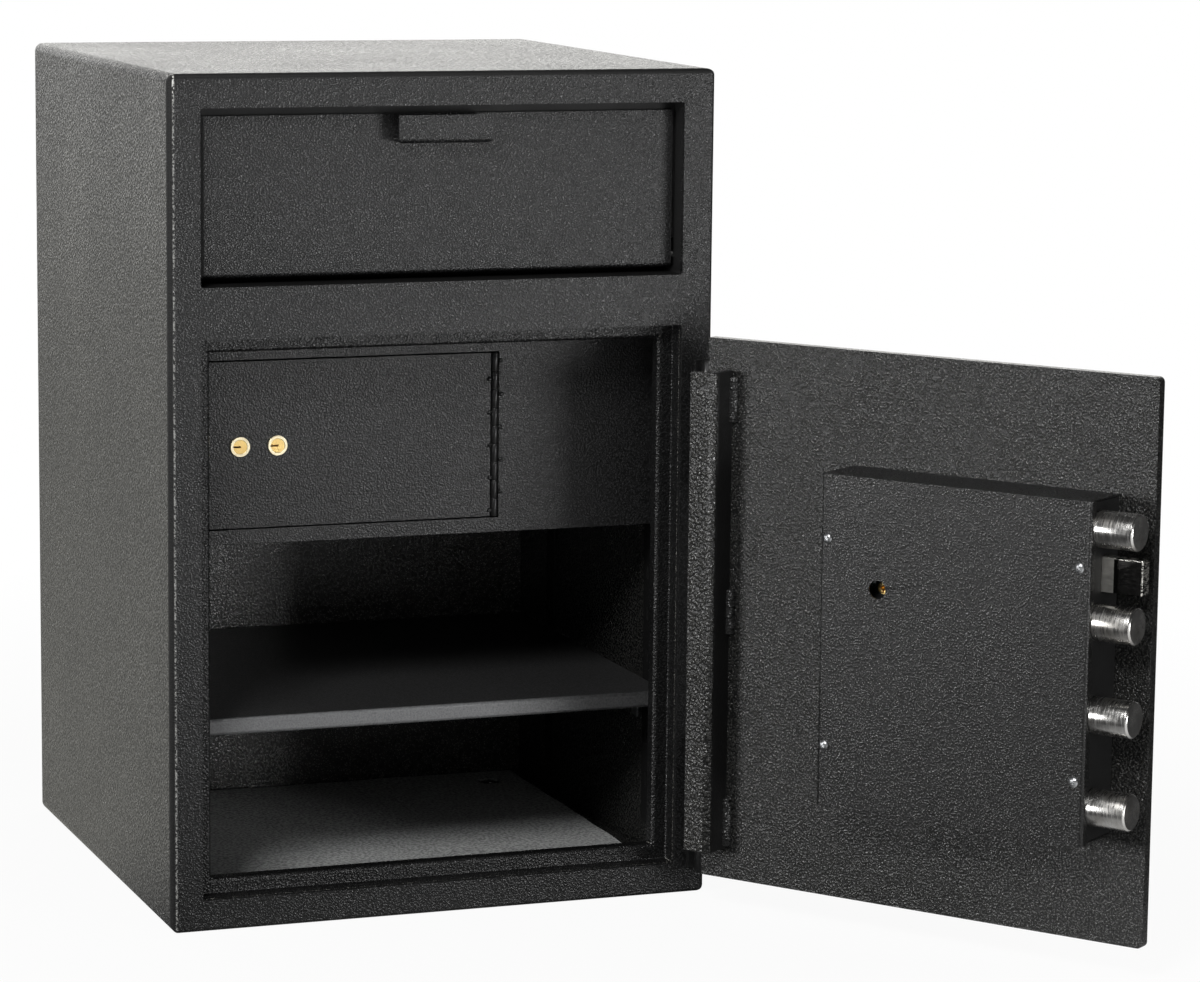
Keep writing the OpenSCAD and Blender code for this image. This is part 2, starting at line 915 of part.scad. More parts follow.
// Brass bush that leads the change key to the lock.
module change_key_bush() {
    h0 = hard_t + case_t;
    color(brass)
        on_door()
            difference() {
                rod_y(dial_s + key_off[0], dial_z + key_off[1], h0, h0 + 9, 5.5);
                rod_y(dial_s + key_off[0], dial_z + key_off[1], h0 + 3, cover_h, 2.5);
                block([dial_s + key_off[0] - 0.8, h0 + 3, dial_z + key_off[1] - 4.5],
                    [dial_s + key_off[0] + 0.8, cover_h, dial_z + key_off[1]]);
            }
}

// Web beside the free edge that carries the bolts, with two folded tabs for the cover's screws.
module bolt_guide() {
    tab = 18;
    tab_half = 6.5;
    tab_eased = 0.5;
    color(dark_coat)
        on_door()
            difference() {
                union() {
                    block([guide_s0, 0, cover_z0 + cover_t + slide_gap],
                        [guide_s1, guide_h - 2 * tab_eased, cover_z1 - cover_t - slide_gap]);
                    for (z = [-1, 1])
                        translate([0, 0, screw_mid + z * screw_out - tab_half])
                            linear_extrude(2 * tab_half)
                                folded([
                                    [guide_s0 + guide_t / 2, guide_h - 4 * guide_t],
                                    [guide_s0 + guide_t / 2, guide_h - guide_t / 2],
                                    [guide_s1 - tab, guide_h - guide_t / 2]
                                ], guide_t, tab_eased);
                }
                for (k = [0 : bolt_count - 1])
                    rod_x(bolt_h, bolt_low + k * bolt_pitch, guide_s0 - bore_over, guide_s1 + bore_over,
                        bolt_r + part_gap);
                block([guide_s0 - bore_over, latch_h0 - slide_gap, latch_z - latch_len / 2 - slide_gap],
                    [guide_s1 + bore_over, latch_h1 + slide_gap, latch_z + latch_len / 2 + slide_gap]);
                for (z = [-1, 1])
                    rod_y(screw_s1, screw_mid + z * screw_out, guide_h - 2 * guide_t, guide_h + bore_over,
                        screw_r + run_gap);
            }
}

// Shouldered studs that the bolt bar's slotted tabs slide on.
module carriage_studs() {
    color(steel)
        on_door()
            for (z = [-1, 1]) {
                rod_y(stud_s, plate_mid + z * stud_out, 0, yoke_h0 - part_gap, stud_r + 4);
                rod_y(stud_s, plate_mid + z * stud_out, yoke_h0 - part_gap, yoke_h0 + yoke_t + part_gap, stud_r);
                rod_y(stud_s, plate_mid + z * stud_out, yoke_h0 + yoke_t + part_gap, yoke_h0 + yoke_t + 3.5,
                    stud_r + 4);
            }
}

module cover_posts() {
    post_r = 5;
    color(zinc)
        on_door()
            for (z = [-1, 1])
                difference() {
                    rod_y(screw_s0 + 1, screw_mid + z * screw_out, 0, cover_h - cover_t, post_r);
                    rod_y(screw_s0, screw_mid + z * screw_out, cover_h - 12, cover_h, screw_r + run_gap);
                }
}

// Folded cover: a front with sides, closed ends and a short lip over the bolt guide.
module boltwork_cover() {
    t = cover_t;
    lip = 9;
    color(coat)
        on_door()
            difference() {
                union() {
                    translate([0, 0, cover_z0])
                        linear_extrude(cover_len)
                            folded([
                                [cover_s0 + t / 2, 0],
                                [cover_s0 + t / 2, cover_h - t / 2],
                                [cover_s1 - t / 2, cover_h - t / 2],
                                [cover_s1 - t / 2, cover_h - lip]
                            ], t, fold_r);
                    for (z = [cover_z0, cover_z1 - t])
                        translate([0, 0, z])
                            linear_extrude(t)
                                intersection() {
                                    round_rect([cover_s0, -cover_h], [cover_s1, cover_h], fold_r + t);
                                    translate([cover_s0, 0])
                                        square([cover_w - t - slide_gap, cover_h]);
                                }
                }
                for (s = [screw_s0, screw_s1], z = [-1, 1])
                    rod_y(s, screw_mid + z * screw_out, cover_h - 2 * t, cover_h + bore_over, screw_r + 0.3);
                rod_y(dial_s + key_off[0], dial_z + key_off[1], cover_h - 2 * t, cover_h + bore_over, 8.2);
                for (k = [0 : bolt_count - 1])
                    rod_x(bolt_h, bolt_low + k * bolt_pitch, cover_s1 - 2 * t, cover_s1 + bore_over,
                        bolt_r + slide_gap);
            }
}

module cover_screws() {
    color(zinc)
        on_door()
            for (s = [screw_s0, screw_s1], z = [-1, 1])
                translate([s, cover_h, screw_mid + z * screw_out])
                    rotate([-90, 0, 0])
                        difference() {
                            union() {
                                intersection() {
                                    cylinder(r = screw_head_r, h = 2.6);
                                    translate([0, 0, -4.6])
                                        sphere(r = 7.2);
                                }
                                translate([0, 0, -5])
                                    cylinder(r = screw_r, h = 5.5);
                            }
                            for (a = [45, 135])
                                rotate([0, 0, a])
                                    translate([-2.4, -0.5, 1.2])
                                        cube([4.8, 1, 3]);
                        }
}

module dial_ring() {
    color(steel)
        on_door()
            difference() {
                union() {
                    rod_y(dial_s, dial_z, -door_t - ring_t + ring_step, -door_t, dial_r + ring_w);
                    rod_y(dial_s, dial_z, -door_t - ring_t, -door_t - ring_t + ring_step, dial_r + ring_w - 3);
                }
                rod_y(dial_s, dial_z, -door_t - ring_t - bore_over, -door_t - ring_step, dial_r + 2);
                rod_y(dial_s, dial_z, -door_t - ring_t - bore_over, bore_over - door_t,
                    dial_spindle_r + run_gap);
            }
}

module handle_escutcheon() {
    color(steel)
        on_door()
            difference() {
                union() {
                    rod_y(handle_s, plate_mid, -door_t - rose_t + rose_step, -door_t, rose_r);
                    rod_y(handle_s, plate_mid, -door_t - rose_t, -door_t - rose_t + rose_step,
                        rose_r - rose_step - 2);
                }
                rod_y(handle_s, plate_mid, -door_t - rose_t - bore_over, bore_over - door_t,
                    spindle_r + run_gap);
            }
}

// Bolt carriage

module locking_bolts() {
    chamfer = 1.5;
    color(steel)
        on_door()
            for (k = [0 : bolt_count - 1])
                translate([bar_s + bar_w, bolt_h, bolt_low + k * bolt_pitch])
                    rotate([0, 90, 0]) {
                        cylinder(r = bolt_r, h = bolt_end - bar_s - bar_w - chamfer);
                        translate([0, 0, bolt_end - bar_s - bar_w - chamfer])
                            rotate_extrude()
                                polygon([[0, 0], [bolt_r, 0], [bolt_r - chamfer, chamfer], [0, chamfer]]);
                    }
}

// Bar that joins the bolts, with two slotted tabs and the yoke that the handle's pin drives.
module bolt_bar() {
    tab_w = 24;
    slot_s0 = stud_s - 0.5;
    color(zinc)
        on_door()
            difference() {
                union() {
                    block([bar_s, bar_h0, bolt_low - bar_over], [bar_s + bar_w, bar_h1, bolt_high + bar_over]);
                    for (z = [-1, 1])
                        block([stud_s - 14, yoke_h0, plate_mid + z * stud_out - tab_w / 2],
                            [bar_s + bar_w / 2, yoke_h0 + yoke_t, plate_mid + z * stud_out + tab_w / 2]);
                    block([yoke_s - 12, yoke_h0, plate_mid + 4],
                        [bar_s + bar_w / 2, yoke_h0 + yoke_t, plate_mid + cam_r + 16]);
                }
                for (z = [-1, 1])
                    along_y(yoke_h0 - bore_over, yoke_h0 + yoke_t + bore_over)
                        round_rect([slot_s0 - stud_r, plate_mid + z * stud_out - stud_r - part_gap],
                            [slot_s0 + bolt_travel + stud_r + 1, plate_mid + z * stud_out + stud_r + part_gap],
                            stud_r);
                along_y(yoke_h0 - bore_over, yoke_h0 + yoke_t + bore_over)
                    round_rect([yoke_s - cam_pin_r - slide_gap, plate_mid + cam_r * cos(cam_swing) - cam_pin_r - 1.5],
                        [yoke_s + cam_pin_r + slide_gap, plate_mid + cam_r + cam_pin_r + 1.5], cam_pin_r);
            }
}

// Square bolt between the two upper round ones.
module latch_block() {
    color(steel)
        on_door()
            block([bar_s + bar_w, latch_h0, latch_z - latch_len / 2],
                [bolt_end, latch_h1, latch_z + latch_len / 2]);
}

// Handle

// Hub with a tapered neck and a straight grip that hangs down and ends in a ball.
module handle_lever() {
    h0 = -door_t - rose_t - part_gap;
    hub_r = 17;
    grip_r = 8;
    reach = 30;
    color(zinc)
        on_door()
            translate([handle_s, h0, plate_mid])
                rotate([90, 0, 0])
                    difference() {
                        union() {
                            cylinder(r = hub_r + 3, h = 6);
                            translate([0, 0, 6])
                                rotate_extrude()
                                    polygon([[0, 0], [hub_r, 0], [hub_r - 5, reach - 2], [hub_r - 9, reach + 8],
                                        [0, reach + 8]]);
                            translate([0, 0, reach + 2])
                                rotate([90, 0, 0]) {
                                    cylinder(r = grip_r, h = handle_len - grip_r);
                                    translate([0, 0, handle_len - grip_r])
                                        sphere(r = grip_r + 3);
                                }
                        }
                        translate([0, 0, -bore_over])
                            cylinder(r = spindle_r + run_gap, h = 16);
                    }
}

module handle_spindle() {
    color(steel)
        on_door()
            rod_y(handle_s, plate_mid, -door_t - rose_t - part_gap - 14, cam_h0, spindle_r);
}

// Crank on the spindle's inner end, with the pin that moves the yoke.
module handle_cam() {
    color(zinc)
        on_door()
            translate([handle_s, 0, plate_mid])
                rotate([0, cam_swing, 0]) {
                    along_y(cam_h0, cam_h0 + cam_t) {
                        circle(cam_hub_r);
                        translate([-8, 0])
                            square([16, cam_r]);
                        translate([0, cam_r])
                            circle(8);
                    }
                    rod_y(0, cam_r, cam_h0 + cam_t, yoke_h0 + yoke_t + 3, cam_pin_r);
                }
}

// Dial

// Turned dial with a grip standing out of a bevelled, numbered skirt.
module dial() {
    h0 = -door_t - ring_step - part_gap;
    grips = 24;
    color(dark_coat)
        on_door()
            translate([dial_s, h0, dial_z])
                rotate([90, 0, 0])
                    difference() {
                        rotate_extrude()
                            polygon([[0, 0], [dial_r, 0], [dial_r, 5], [dial_r - 9, 11], [dial_r - 13, 12],
                                [dial_r - 14, 30], [dial_r - 16, 32], [0, 32]]);
                        for (k = [0 : grips - 1])
                            rotate([0, 0, k * 360 / grips])
                                translate([dial_r - 12.8, 0, 14])
                                    cylinder(r = 1.4, h = 20);
                        translate([0, 0, -bore_over])
                            cylinder(r = dial_spindle_r + run_gap, h = 12);
                    }
}

module dial_spindle() {
    color(steel)
        on_door()
            rod_y(dial_s, dial_z, -door_t - ring_step - part_gap - 10, hard_t + 19, dial_spindle_r);
}

// Deposit drawer

// Front sheet with its bottom edge folded in under the pivots.
module drawer_front() {
    t = drawer_t;
    color(coat)
        intersection() {
            along_x(-drawer_half, drawer_half)
                folded([
                    [drawer_y + t / 2, drawer_z1],
                    [drawer_y + t / 2, drawer_z0 + t / 2],
                    [drawer_y + 10, drawer_z0 + t / 2]
                ], t, 1);
            along_y(drawer_y - bore_over, drawer_y + 20)
                round_rect([-drawer_half, drawer_z0 - 10], [drawer_half, drawer_z1], 2);
        }
}

// J-shaped pull: open above and at the sides, with its lower corners rounded.
module drawer_pull() {
    t = 2.5;
    top = drawer_z1 - 0.5;
    low = top - pull_h;
    corner = 5;
    color(coat)
        intersection() {
            along_x(-pull_w / 2, pull_w / 2)
                folded([
                    [drawer_y - t / 2, low + 14],
                    [drawer_y - t / 2, low + t / 2],
                    [drawer_y - pull_out + t / 2, low + t / 2],
                    [drawer_y - pull_out + t / 2, top]
                ], t, fold_r);
            along_y(drawer_y - pull_out - bore_over, drawer_y + bore_over)
                round_rect([-pull_w / 2, low], [pull_w / 2, top + 2 * corner], corner);
        }
}

// Two quarter-round side plates between the front and the tray.
module drawer_sides() {
    reach = 2 * side_arc;
    end_a = -tray_fall;
    y0 = drawer_y + drawer_t - pivot_y;
    color(dark_coat)
        for (x = [-side_x, side_x - side_t])
            along_x(x, x + side_t)
                translate([pivot_y, pivot_z])
                    union() {
                        intersection() {
                            circle(side_arc, $fn = 96);
                            polygon([
                                [y0, -7],
                                [0, -7],
                                reach * [cos(end_a), sin(end_a)],
                                [reach, reach],
                                [y0, reach]
                            ]);
                        }
                        translate([y0, -7])
                            square([-y0 + 2, 14]);
                    }
}

// Floor of the drawer, which falls towards the back when the drawer is shut.
module drawer_tray() {
    t = 2;
    color(dark_coat)
        along_x(-side_x + side_t, side_x - side_t)
            translate([pivot_y, pivot_z])
                intersection() {
                    circle(side_arc - 0.5, $fn = 96);
                    rotate(-tray_fall)
                        translate([4, -6])
                            square([side_arc, t]);
                }
}

module drawer_pivots() {
    color(steel)
        for (side = [0, 1])
            mirror([side, 0, 0])
                rod_x(pivot_y, pivot_z, side_x, half_open + surround_t + 1, pivot_r);
}

// Locker door

module locker_door_panel() {
    color(coat)
        along_y(locker_y, locker_y + locker_t)
            difference() {
                translate([locker_x0 + door_edge_gap, locker_open_z0 + door_edge_gap])
                    square([locker_axis_x - axis_gap - locker_x0 - door_edge_gap,
                        locker_open_h - 2 * door_edge_gap]);
                for (k = [0, 1])
                    translate([nose_x + k * nose_spacing, nose_z])
                        circle(nose_r - 1.5);
            }
}

module locker_hinge_door() {
    color(dark_coat)
        small_hinge(-1);
}

// Shell of the two-key lock, with a window for its bolt.
module locker_lock_case() {
    t = 1.5;
    y0 = locker_y + locker_t;
    y1 = y0 + 24;
    x0 = locker_x0 + 5;
    x1 = nose_x + nose_spacing + 20;
    z0 = nose_z - 24;
    z1 = nose_z + 24;
    color(zinc)
        difference() {
            block([x0, y0, z0], [x1, y1, z1]);
            block([x0 + t, y0 - bore_over, z0 + t], [x1 - t, y1 - t, z1 - t]);
            block([x0 - bore_over, y0 - bore_over, nose_z - 7], [x0 + 2 * t, y0 + 16, nose_z + 7]);
        }
}

// Rings that stand proud of the panel and carry the plugs.
module locker_lock_noses() {
    color(brass)
        for (k = [0, 1])
            difference() {
                union() {
                    rod_y(nose_x + k * nose_spacing, nose_z, locker_y - 2.2, locker_y, nose_r);
                    rod_y(nose_x + k * nose_spacing, nose_z, locker_y, locker_y + locker_t + 5, nose_r - 1.5);
                }
                rod_y(nose_x + k * nose_spacing, nose_z, locker_y - 3, locker_y + locker_t + 6, plug_r + run_gap);
            }
}

// A plug with its key slot at the left of its face.
module plug(x) {
    difference() {
        rod_y(x, nose_z, locker_y - 1.8, locker_y + locker_t + 9, plug_r);
        block([x - plug_r - 1, locker_y - 3, nose_z - key_slot_t / 2],
            [x + 0.6, locker_y + 9, nose_z + key_slot_t / 2]);
    }
}

module guard_plug() {
    color(brass)
        plug(nose_x);
}

// Plug whose crank pin moves the bolt.
module holder_plug() {
    y0 = locker_y + locker_t + 9;
    x = nose_x + nose_spacing;
    color(brass) {
        plug(x);
        rod_y(x, nose_z, y0, y0 + 2, key_cam_r + 2);
        rod_y(x + key_cam_r * sin(45), nose_z + key_cam_r * cos(45), y0 + 2, y0 + 9, 1.5);
    }
}

// Sliding bolt with a head that passes behind the stile and a slot for the crank pin.
module locker_bolt() {
    y0 = locker_y + locker_t + 11.5;
    x = nose_x + nose_spacing;
    pin_x = x + key_cam_r * sin(45);
    color(steel)
        difference() {
            union() {
                block([locker_x0 + 2, locker_y + locker_t + 1, nose_z - 6],
                    [locker_x0 + 16, y0 + 4, nose_z + 6]);
                block([locker_x0 + 2, y0, nose_z - 10], [pin_x + 6, y0 + 4, nose_z + 12]);
                block([locker_x0 + 2, y0, nose_z - 6], [pin_x + 6, y0 + 4, nose_z + 6]);
            }
            block([locker_x0 + 1, y0 - 1, nose_z + 6], [locker_x0 + 16, y0 + 5, nose_z + 14]);
            block([locker_x0 + 1, y0 - 1, nose_z - 14], [locker_x0 + 16, y0 + 5, nose_z - 6]);
            along_y(y0 - bore_over, y0 + 4 + bore_over)
                round_rect([pin_x - 2, nose_z + key_cam_r * cos(45) - 2.5],
                    [pin_x + 2, nose_z + key_cam_r + 2.5], 1.9);
        }
}

body_wrap();
back_panel();
front_frame();
door_jamb();
drawer_surround();
chute_plate();
fishing_baffle();
locker_front();
locker_floor();
locker_hinge_fixed();
locker_hinge_pin();
shelf();
shelf_standards();
shelf_clips();
floor_mat();
frame_hinge_leaves();
door_hinge_pins();
door_plate();
door_hinge_leaves();
dead_bar();
dead_bar_welds();
hardplate();
lock_case();
lock_case_screws();
change_key_bush();
bolt_guide();
carriage_studs();
cover_posts();
boltwork_cover();
cover_screws();
dial_ring();
handle_escutcheon();
locking_bolts();
bolt_bar();
latch_block();
handle_lever();
handle_spindle();
handle_cam();
dial();
dial_spindle();
drawer_front();
drawer_pull();
drawer_sides();
drawer_tray();
drawer_pivots();
locker_door_panel();
locker_hinge_door();
locker_lock_case();
locker_lock_noses();
locker_bolt();
guard_plug();
holder_plug();
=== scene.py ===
import math
import random

import bmesh
import bpy
from mathutils import Matrix, Vector


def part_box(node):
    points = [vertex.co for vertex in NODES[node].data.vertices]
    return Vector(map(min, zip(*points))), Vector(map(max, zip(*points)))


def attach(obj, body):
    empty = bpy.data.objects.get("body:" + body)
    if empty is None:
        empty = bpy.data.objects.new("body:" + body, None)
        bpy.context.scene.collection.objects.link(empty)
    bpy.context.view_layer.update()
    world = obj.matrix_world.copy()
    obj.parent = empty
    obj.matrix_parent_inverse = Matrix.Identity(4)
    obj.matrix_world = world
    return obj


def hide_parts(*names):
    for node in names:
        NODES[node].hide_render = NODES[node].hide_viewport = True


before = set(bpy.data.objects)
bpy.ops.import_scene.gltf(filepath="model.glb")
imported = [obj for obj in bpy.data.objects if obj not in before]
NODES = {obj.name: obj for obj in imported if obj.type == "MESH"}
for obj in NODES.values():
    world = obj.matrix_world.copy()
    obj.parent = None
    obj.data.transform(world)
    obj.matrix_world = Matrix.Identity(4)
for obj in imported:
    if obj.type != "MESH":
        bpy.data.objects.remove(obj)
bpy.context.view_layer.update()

scene = bpy.context.scene
scene.view_settings.view_transform = "Standard"


# Camera, as solved from the cabinet's corners
SENSOR_MM = 36.0
FOCAL_MM = 127.473
CAMERA_AT = Vector((-1.18180259, -3.82063767, 0.98486903))
cam_data = bpy.data.cameras.new("camera")
cam_data.sensor_width = SENSOR_MM
cam_data.lens = FOCAL_MM
cam_data.clip_start = 0.05
cam_data.clip_end = 60
cam = bpy.data.objects.new("camera", cam_data)
scene.collection.objects.link(cam)
right = Vector((0.93759137, -0.34756570, 0.01097724))
down = Vector((-0.04431140, -0.15072521, -0.98758210))
ahead = Vector((0.34490421, 0.92546205, -0.15671977))
cam.matrix_world = Matrix((
    (right.x, -down.x, -ahead.x, CAMERA_AT.x),
    (right.y, -down.y, -ahead.y, CAMERA_AT.y),
    (right.z, -down.z, -ahead.z, CAMERA_AT.z),
    (0, 0, 0, 1),
))
scene.camera = cam


# Main door, in mm: hinge axis, hinge edge and inner face of the shut door, and the angle at which it stands
AXIS = (246.5, -270.0)
HINGE_EDGE_X = 224
INNER_Y = -232
OPEN_DEG = 126
OUTWARD_DEG = 180 - OPEN_DEG


def door(s, h, z):
    """A point of the open door in metres, s mm from its hinge edge and h mm out of its inner face."""
    x = HINGE_EDGE_X - s - AXIS[0]
    y = INNER_Y + h - AXIS[1]
    c, q = math.cos(math.radians(OPEN_DEG)), math.sin(math.radians(OPEN_DEG))
    return Vector((AXIS[0] + c * x - q * y, AXIS[1] + q * x + c * y, z)) / 1000


# From the door's hinge edge to its free edge, out of its inner face, and up
D_OUT = Vector((math.cos(math.radians(OUTWARD_DEG)), -math.sin(math.radians(OUTWARD_DEG)), 0))
N_IN = Vector((-math.sin(math.radians(OUTWARD_DEG)), -math.cos(math.radians(OUTWARD_DEG)), 0))
UP = Vector((0, 0, 1))


class Tree:
    """A material's node tree, with short calls for the nodes that it needs."""

    def __init__(self, name):
        self.mat = bpy.data.materials.new(name)
        self.mat.use_nodes = True
        self.nodes = self.mat.node_tree.nodes
        self.links = self.mat.node_tree.links
        self.shader = self.nodes["Principled BSDF"]
        self.coords = self.new("ShaderNodeTexCoord").outputs["Object"]

    def new(self, kind, **settings):
        node = self.nodes.new(kind)
        for key, value in settings.items():
            setattr(node, key, value)
        return node

    def link(self, a, b):
        self.links.new(a, b)

    def noise(self, scale, detail, roughness, stretch=None):
        node = self.new("ShaderNodeTexNoise")
        node.inputs["Scale"].default_value = scale
        node.inputs["Detail"].default_value = detail
        node.inputs["Roughness"].default_value = roughness
        self.link(self.stretched(stretch) if stretch else self.coords, node.inputs["Vector"])
        return node.outputs["Fac"]

    def stretched(self, stretch):
        node = self.new("ShaderNodeMapping")
        node.inputs["Scale"].default_value = stretch
        self.link(self.coords, node.inputs["Vector"])
        return node.outputs["Vector"]

    def ramp(self, value, low, high, out_low=0.0, out_high=1.0):
        node = self.new("ShaderNodeMapRange")
        node.inputs["From Min"].default_value = low
        node.inputs["From Max"].default_value = high
        node.inputs["To Min"].default_value = out_low
        node.inputs["To Max"].default_value = out_high
        self.link(value, node.inputs["Value"])
        return node.outputs["Result"]

    def math(self, operation, a, b):
        node = self.new("ShaderNodeMath", operation=operation)
        for socket, value in zip(node.inputs, (a, b)):
            if isinstance(value, (int, float)):
                socket.default_value = value
            else:
                self.link(value, socket)
        return node.outputs[0]

    def mix(self, factor, a, b):
        node = self.new("ShaderNodeMix", data_type="RGBA")
        for socket, value in ((node.inputs[0], factor), (node.inputs[6], a), (node.inputs[7], b)):
            if isinstance(value, (tuple, list)):
                socket.default_value = (*value, 1.0)
            elif isinstance(value, (int, float)):
                socket.default_value = value
            else:
                self.link(value, socket)
        return node.outputs[2]

    def bump(self, height, strength, distance):
        node = self.new("ShaderNodeBump")
        node.inputs["Strength"].default_value = strength
        node.inputs["Distance"].default_value = distance
        self.link(height, node.inputs["Height"])
        return node.outputs["Normal"]

    def place(self):
        """The X, Y and Z of the point on the object."""
        node = self.new("ShaderNodeSeparateXYZ")
        self.link(self.coords, node.inputs[0])
        return node.outputs

    def along(self, direction):
        """How far the point on the object lies along a direction."""
        node = self.new("ShaderNodeVectorMath", operation="DOT_PRODUCT")
        self.link(self.coords, node.inputs[0])
        node.inputs[1].default_value = direction
        return node.outputs["Value"]

    def finish(self, color, roughness, normal, metallic=0.0, **plain):
        inputs = self.shader.inputs
        inputs["Metallic"].default_value = metallic
        self.link(color, inputs["Base Color"])
        if roughness is not None:
            self.link(roughness, inputs["Roughness"])
        self.link(normal, inputs["Normal"])
        for key, value in plain.items():
            inputs[key.replace("_", " ")].default_value = value
        return self.mat


def scaled(color, gain):
    return tuple(c * gain for c in color)


def powder_coat(name, base, grain, depth, rough, speck=0.5, contrast=1.0, part_look=None):
    """Leather-like textured paint of rounded grains, paler on their crowns.

    grain is how many there are to the metre, and depth their height in metres.
    """
    t = Tree(name)
    warp = t.new("ShaderNodeTexNoise")
    warp.inputs["Scale"].default_value = grain * 0.7
    warp.inputs["Detail"].default_value = 1.0
    offset = t.new("ShaderNodeVectorMath", operation="MULTIPLY_ADD")
    t.link(t.coords, warp.inputs["Vector"])
    t.link(warp.outputs["Color"], offset.inputs[0])
    offset.inputs[1].default_value = (0.0012, 0.0012, 0.0012)
    t.link(t.coords, offset.inputs[2])
    cells = t.new("ShaderNodeTexVoronoi", feature="SMOOTH_F1")
    cells.inputs["Scale"].default_value = grain
    cells.inputs["Smoothness"].default_value = 0.25
    t.link(offset.outputs[0], cells.inputs["Vector"])
    fine = t.noise(grain * 1.6, 2.0, 0.5)
    broad = t.noise(7.0, 3.0, 0.6)
    crown = t.ramp(cells.outputs["Distance"], 0.15, 0.72, 1.0, 0.0)
    height = t.math("ADD", t.math("MULTIPLY", crown, 0.8), t.ramp(fine, 0.3, 0.7, 0.0, 0.35))
    low, high = scaled(base, 1 - 0.9 * contrast), scaled(base, 1 + 1.6 * contrast)
    color = t.mix(t.ramp(height, 0.25, 0.95), low, high)
    color = t.mix(t.math("MULTIPLY", t.ramp(broad, 0.35, 0.75), 0.2), color, scaled(base, 1.3))
    roughness = t.math("ADD", t.ramp(height, 0.3, 0.9, rough + 0.14, rough - 0.10),
                       t.ramp(broad, 0.3, 0.7, -0.03, 0.03))
    if part_look:
        color, roughness, height = part_look(t, color, roughness, height)
    return t.finish(color, roughness, t.bump(height, 1.0, depth), Specular_IOR_Level=speck)


def edge_shade_and_glints(node, widths, dots):
    """Painted shade along a plate's left, right and top edges: dark, dull paint, widths in metres.

    With dots, painted highlights are dotted beside the left edge, most of all near the top.
    """
    lo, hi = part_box(node)

    def apply(t, color, roughness, height):
        place = t.place()
        left = t.math("SUBTRACT", place["X"], lo[0])
        right = t.math("SUBTRACT", hi[0], place["X"])
        over = t.math("SUBTRACT", hi[2], place["Z"])
        # Painted shade: dull is how much of the dark paint lies along each edge
        dull = 0.0
        for gap, width in zip((left, right, over), widths):
            dull = t.math("MAXIMUM", t.ramp(gap, width * 0.75, width * 1.15, 1.0, 0.0), dull)
        color = t.mix(dull, color, (0.0015, 0.0015, 0.0015))
        roughness = t.math("MAXIMUM", roughness, t.math("MULTIPLY", dull, 0.75))
        # Painted highlights: pale dots beside the left edge, brightest towards the top-left corner
        if dots:
            beside = t.math("MULTIPLY", t.ramp(left, widths[0], widths[0] + 0.0004),
                            t.ramp(left, widths[0] + 0.0012, widths[0] + 0.0024, 1.0, 0.0))
            corner = t.ramp(t.math("ADD", left, over), 0.016, 0.034, 1.0, 0.38)
            bright_dots = t.math("MULTIPLY", t.ramp(t.noise(640.0, 1.0, 0.5), 0.46, 0.56),
                            t.math("MULTIPLY", beside, corner))
            color = t.mix(bright_dots, color, (0.62, 0.62, 0.59))
        return color, roughness, height

    return apply


def glinting_inside(node, low, high):
    """All of a plate but its outer face carries painted glints: its crowns are paler, from low to high."""
    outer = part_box(node)[1][1]

    def apply(t, color, roughness, height):
        inside = t.ramp(t.place()["Y"], outer - 0.0008, outer - 0.0012)
        # Painted highlights: pale crowns stand for glints on the grain
        pale = t.mix(t.ramp(height, 0.55, 0.95), low, high)
        return t.mix(inside, color, pale), roughness, height

    return apply


def smooth_shaded_web(node, depth):
    """The grain fades out below the flange, where the folded bar is smooth, dull and painted near black as
    shade.
    """
    top = max(N_IN.dot(v.co) for v in NODES[node].data.vertices)

    def apply(t, color, roughness, height):
        flange = t.ramp(t.along(N_IN), top - depth - 0.001, top - depth + 0.0005)
        # Painted shade: the web below the flange is near black
        color = t.mix(flange, (0.002, 0.002, 0.002), color)
        roughness = t.math("MAXIMUM", roughness, t.ramp(flange, 0.0, 1.0, 0.45, 0.0))
        return color, roughness, t.math("MULTIPLY", height, t.ramp(flange, 0.0, 1.0, 0.15, 1.0))

    return apply


def smooth_coat(name, base, rough, speck=0.5):
    """Paint with hardly any grain."""
    t = Tree(name)
    fine = t.noise(520.0, 2.0, 0.5)
    broad = t.noise(14.0, 3.0, 0.6)
    normal = t.bump(fine, 0.8, 0.0002)
    color = t.mix(t.ramp(broad, 0.3, 0.75), scaled(base, 0.8), scaled(base, 1.3))
    color = t.mix(t.math("MULTIPLY", t.ramp(fine, 0.4, 0.7), 0.5), color, scaled(base, 1.8))
    roughness = t.ramp(broad, 0.3, 0.75, rough + 0.06, rough - 0.05)
    return t.finish(color, roughness, normal, Specular_IOR_Level=speck)


def lip_coat(name, base, lip):
    """The shelf's fine coat, paler grey along the front lip but for painted door shadow at its right end."""
    t = Tree(name)
    fine = t.noise(560.0, 3.0, 0.6)
    normal = t.bump(fine, 0.9, 0.0003)
    place = t.place()
    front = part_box("shelf")[0][1]
    # Paler grey along the lip, falling off towards the right end as painted shadow of the open door
    share = t.math("MULTIPLY", t.ramp(place["Y"], front + 0.0030, front + 0.0008),
                   t.ramp(place["X"], 0.17, 0.07, 0.12, 1.0))
    share = t.math("MULTIPLY", share, t.ramp(fine, 0.30, 0.62, 0.55, 1.0))
    off_lip = t.mix(t.ramp(fine, 0.35, 0.65), scaled(base, 0.5), scaled(base, 1.6))
    return t.finish(t.mix(share, off_lip, lip), t.ramp(fine, 0.3, 0.7, 0.42, 0.30), normal)


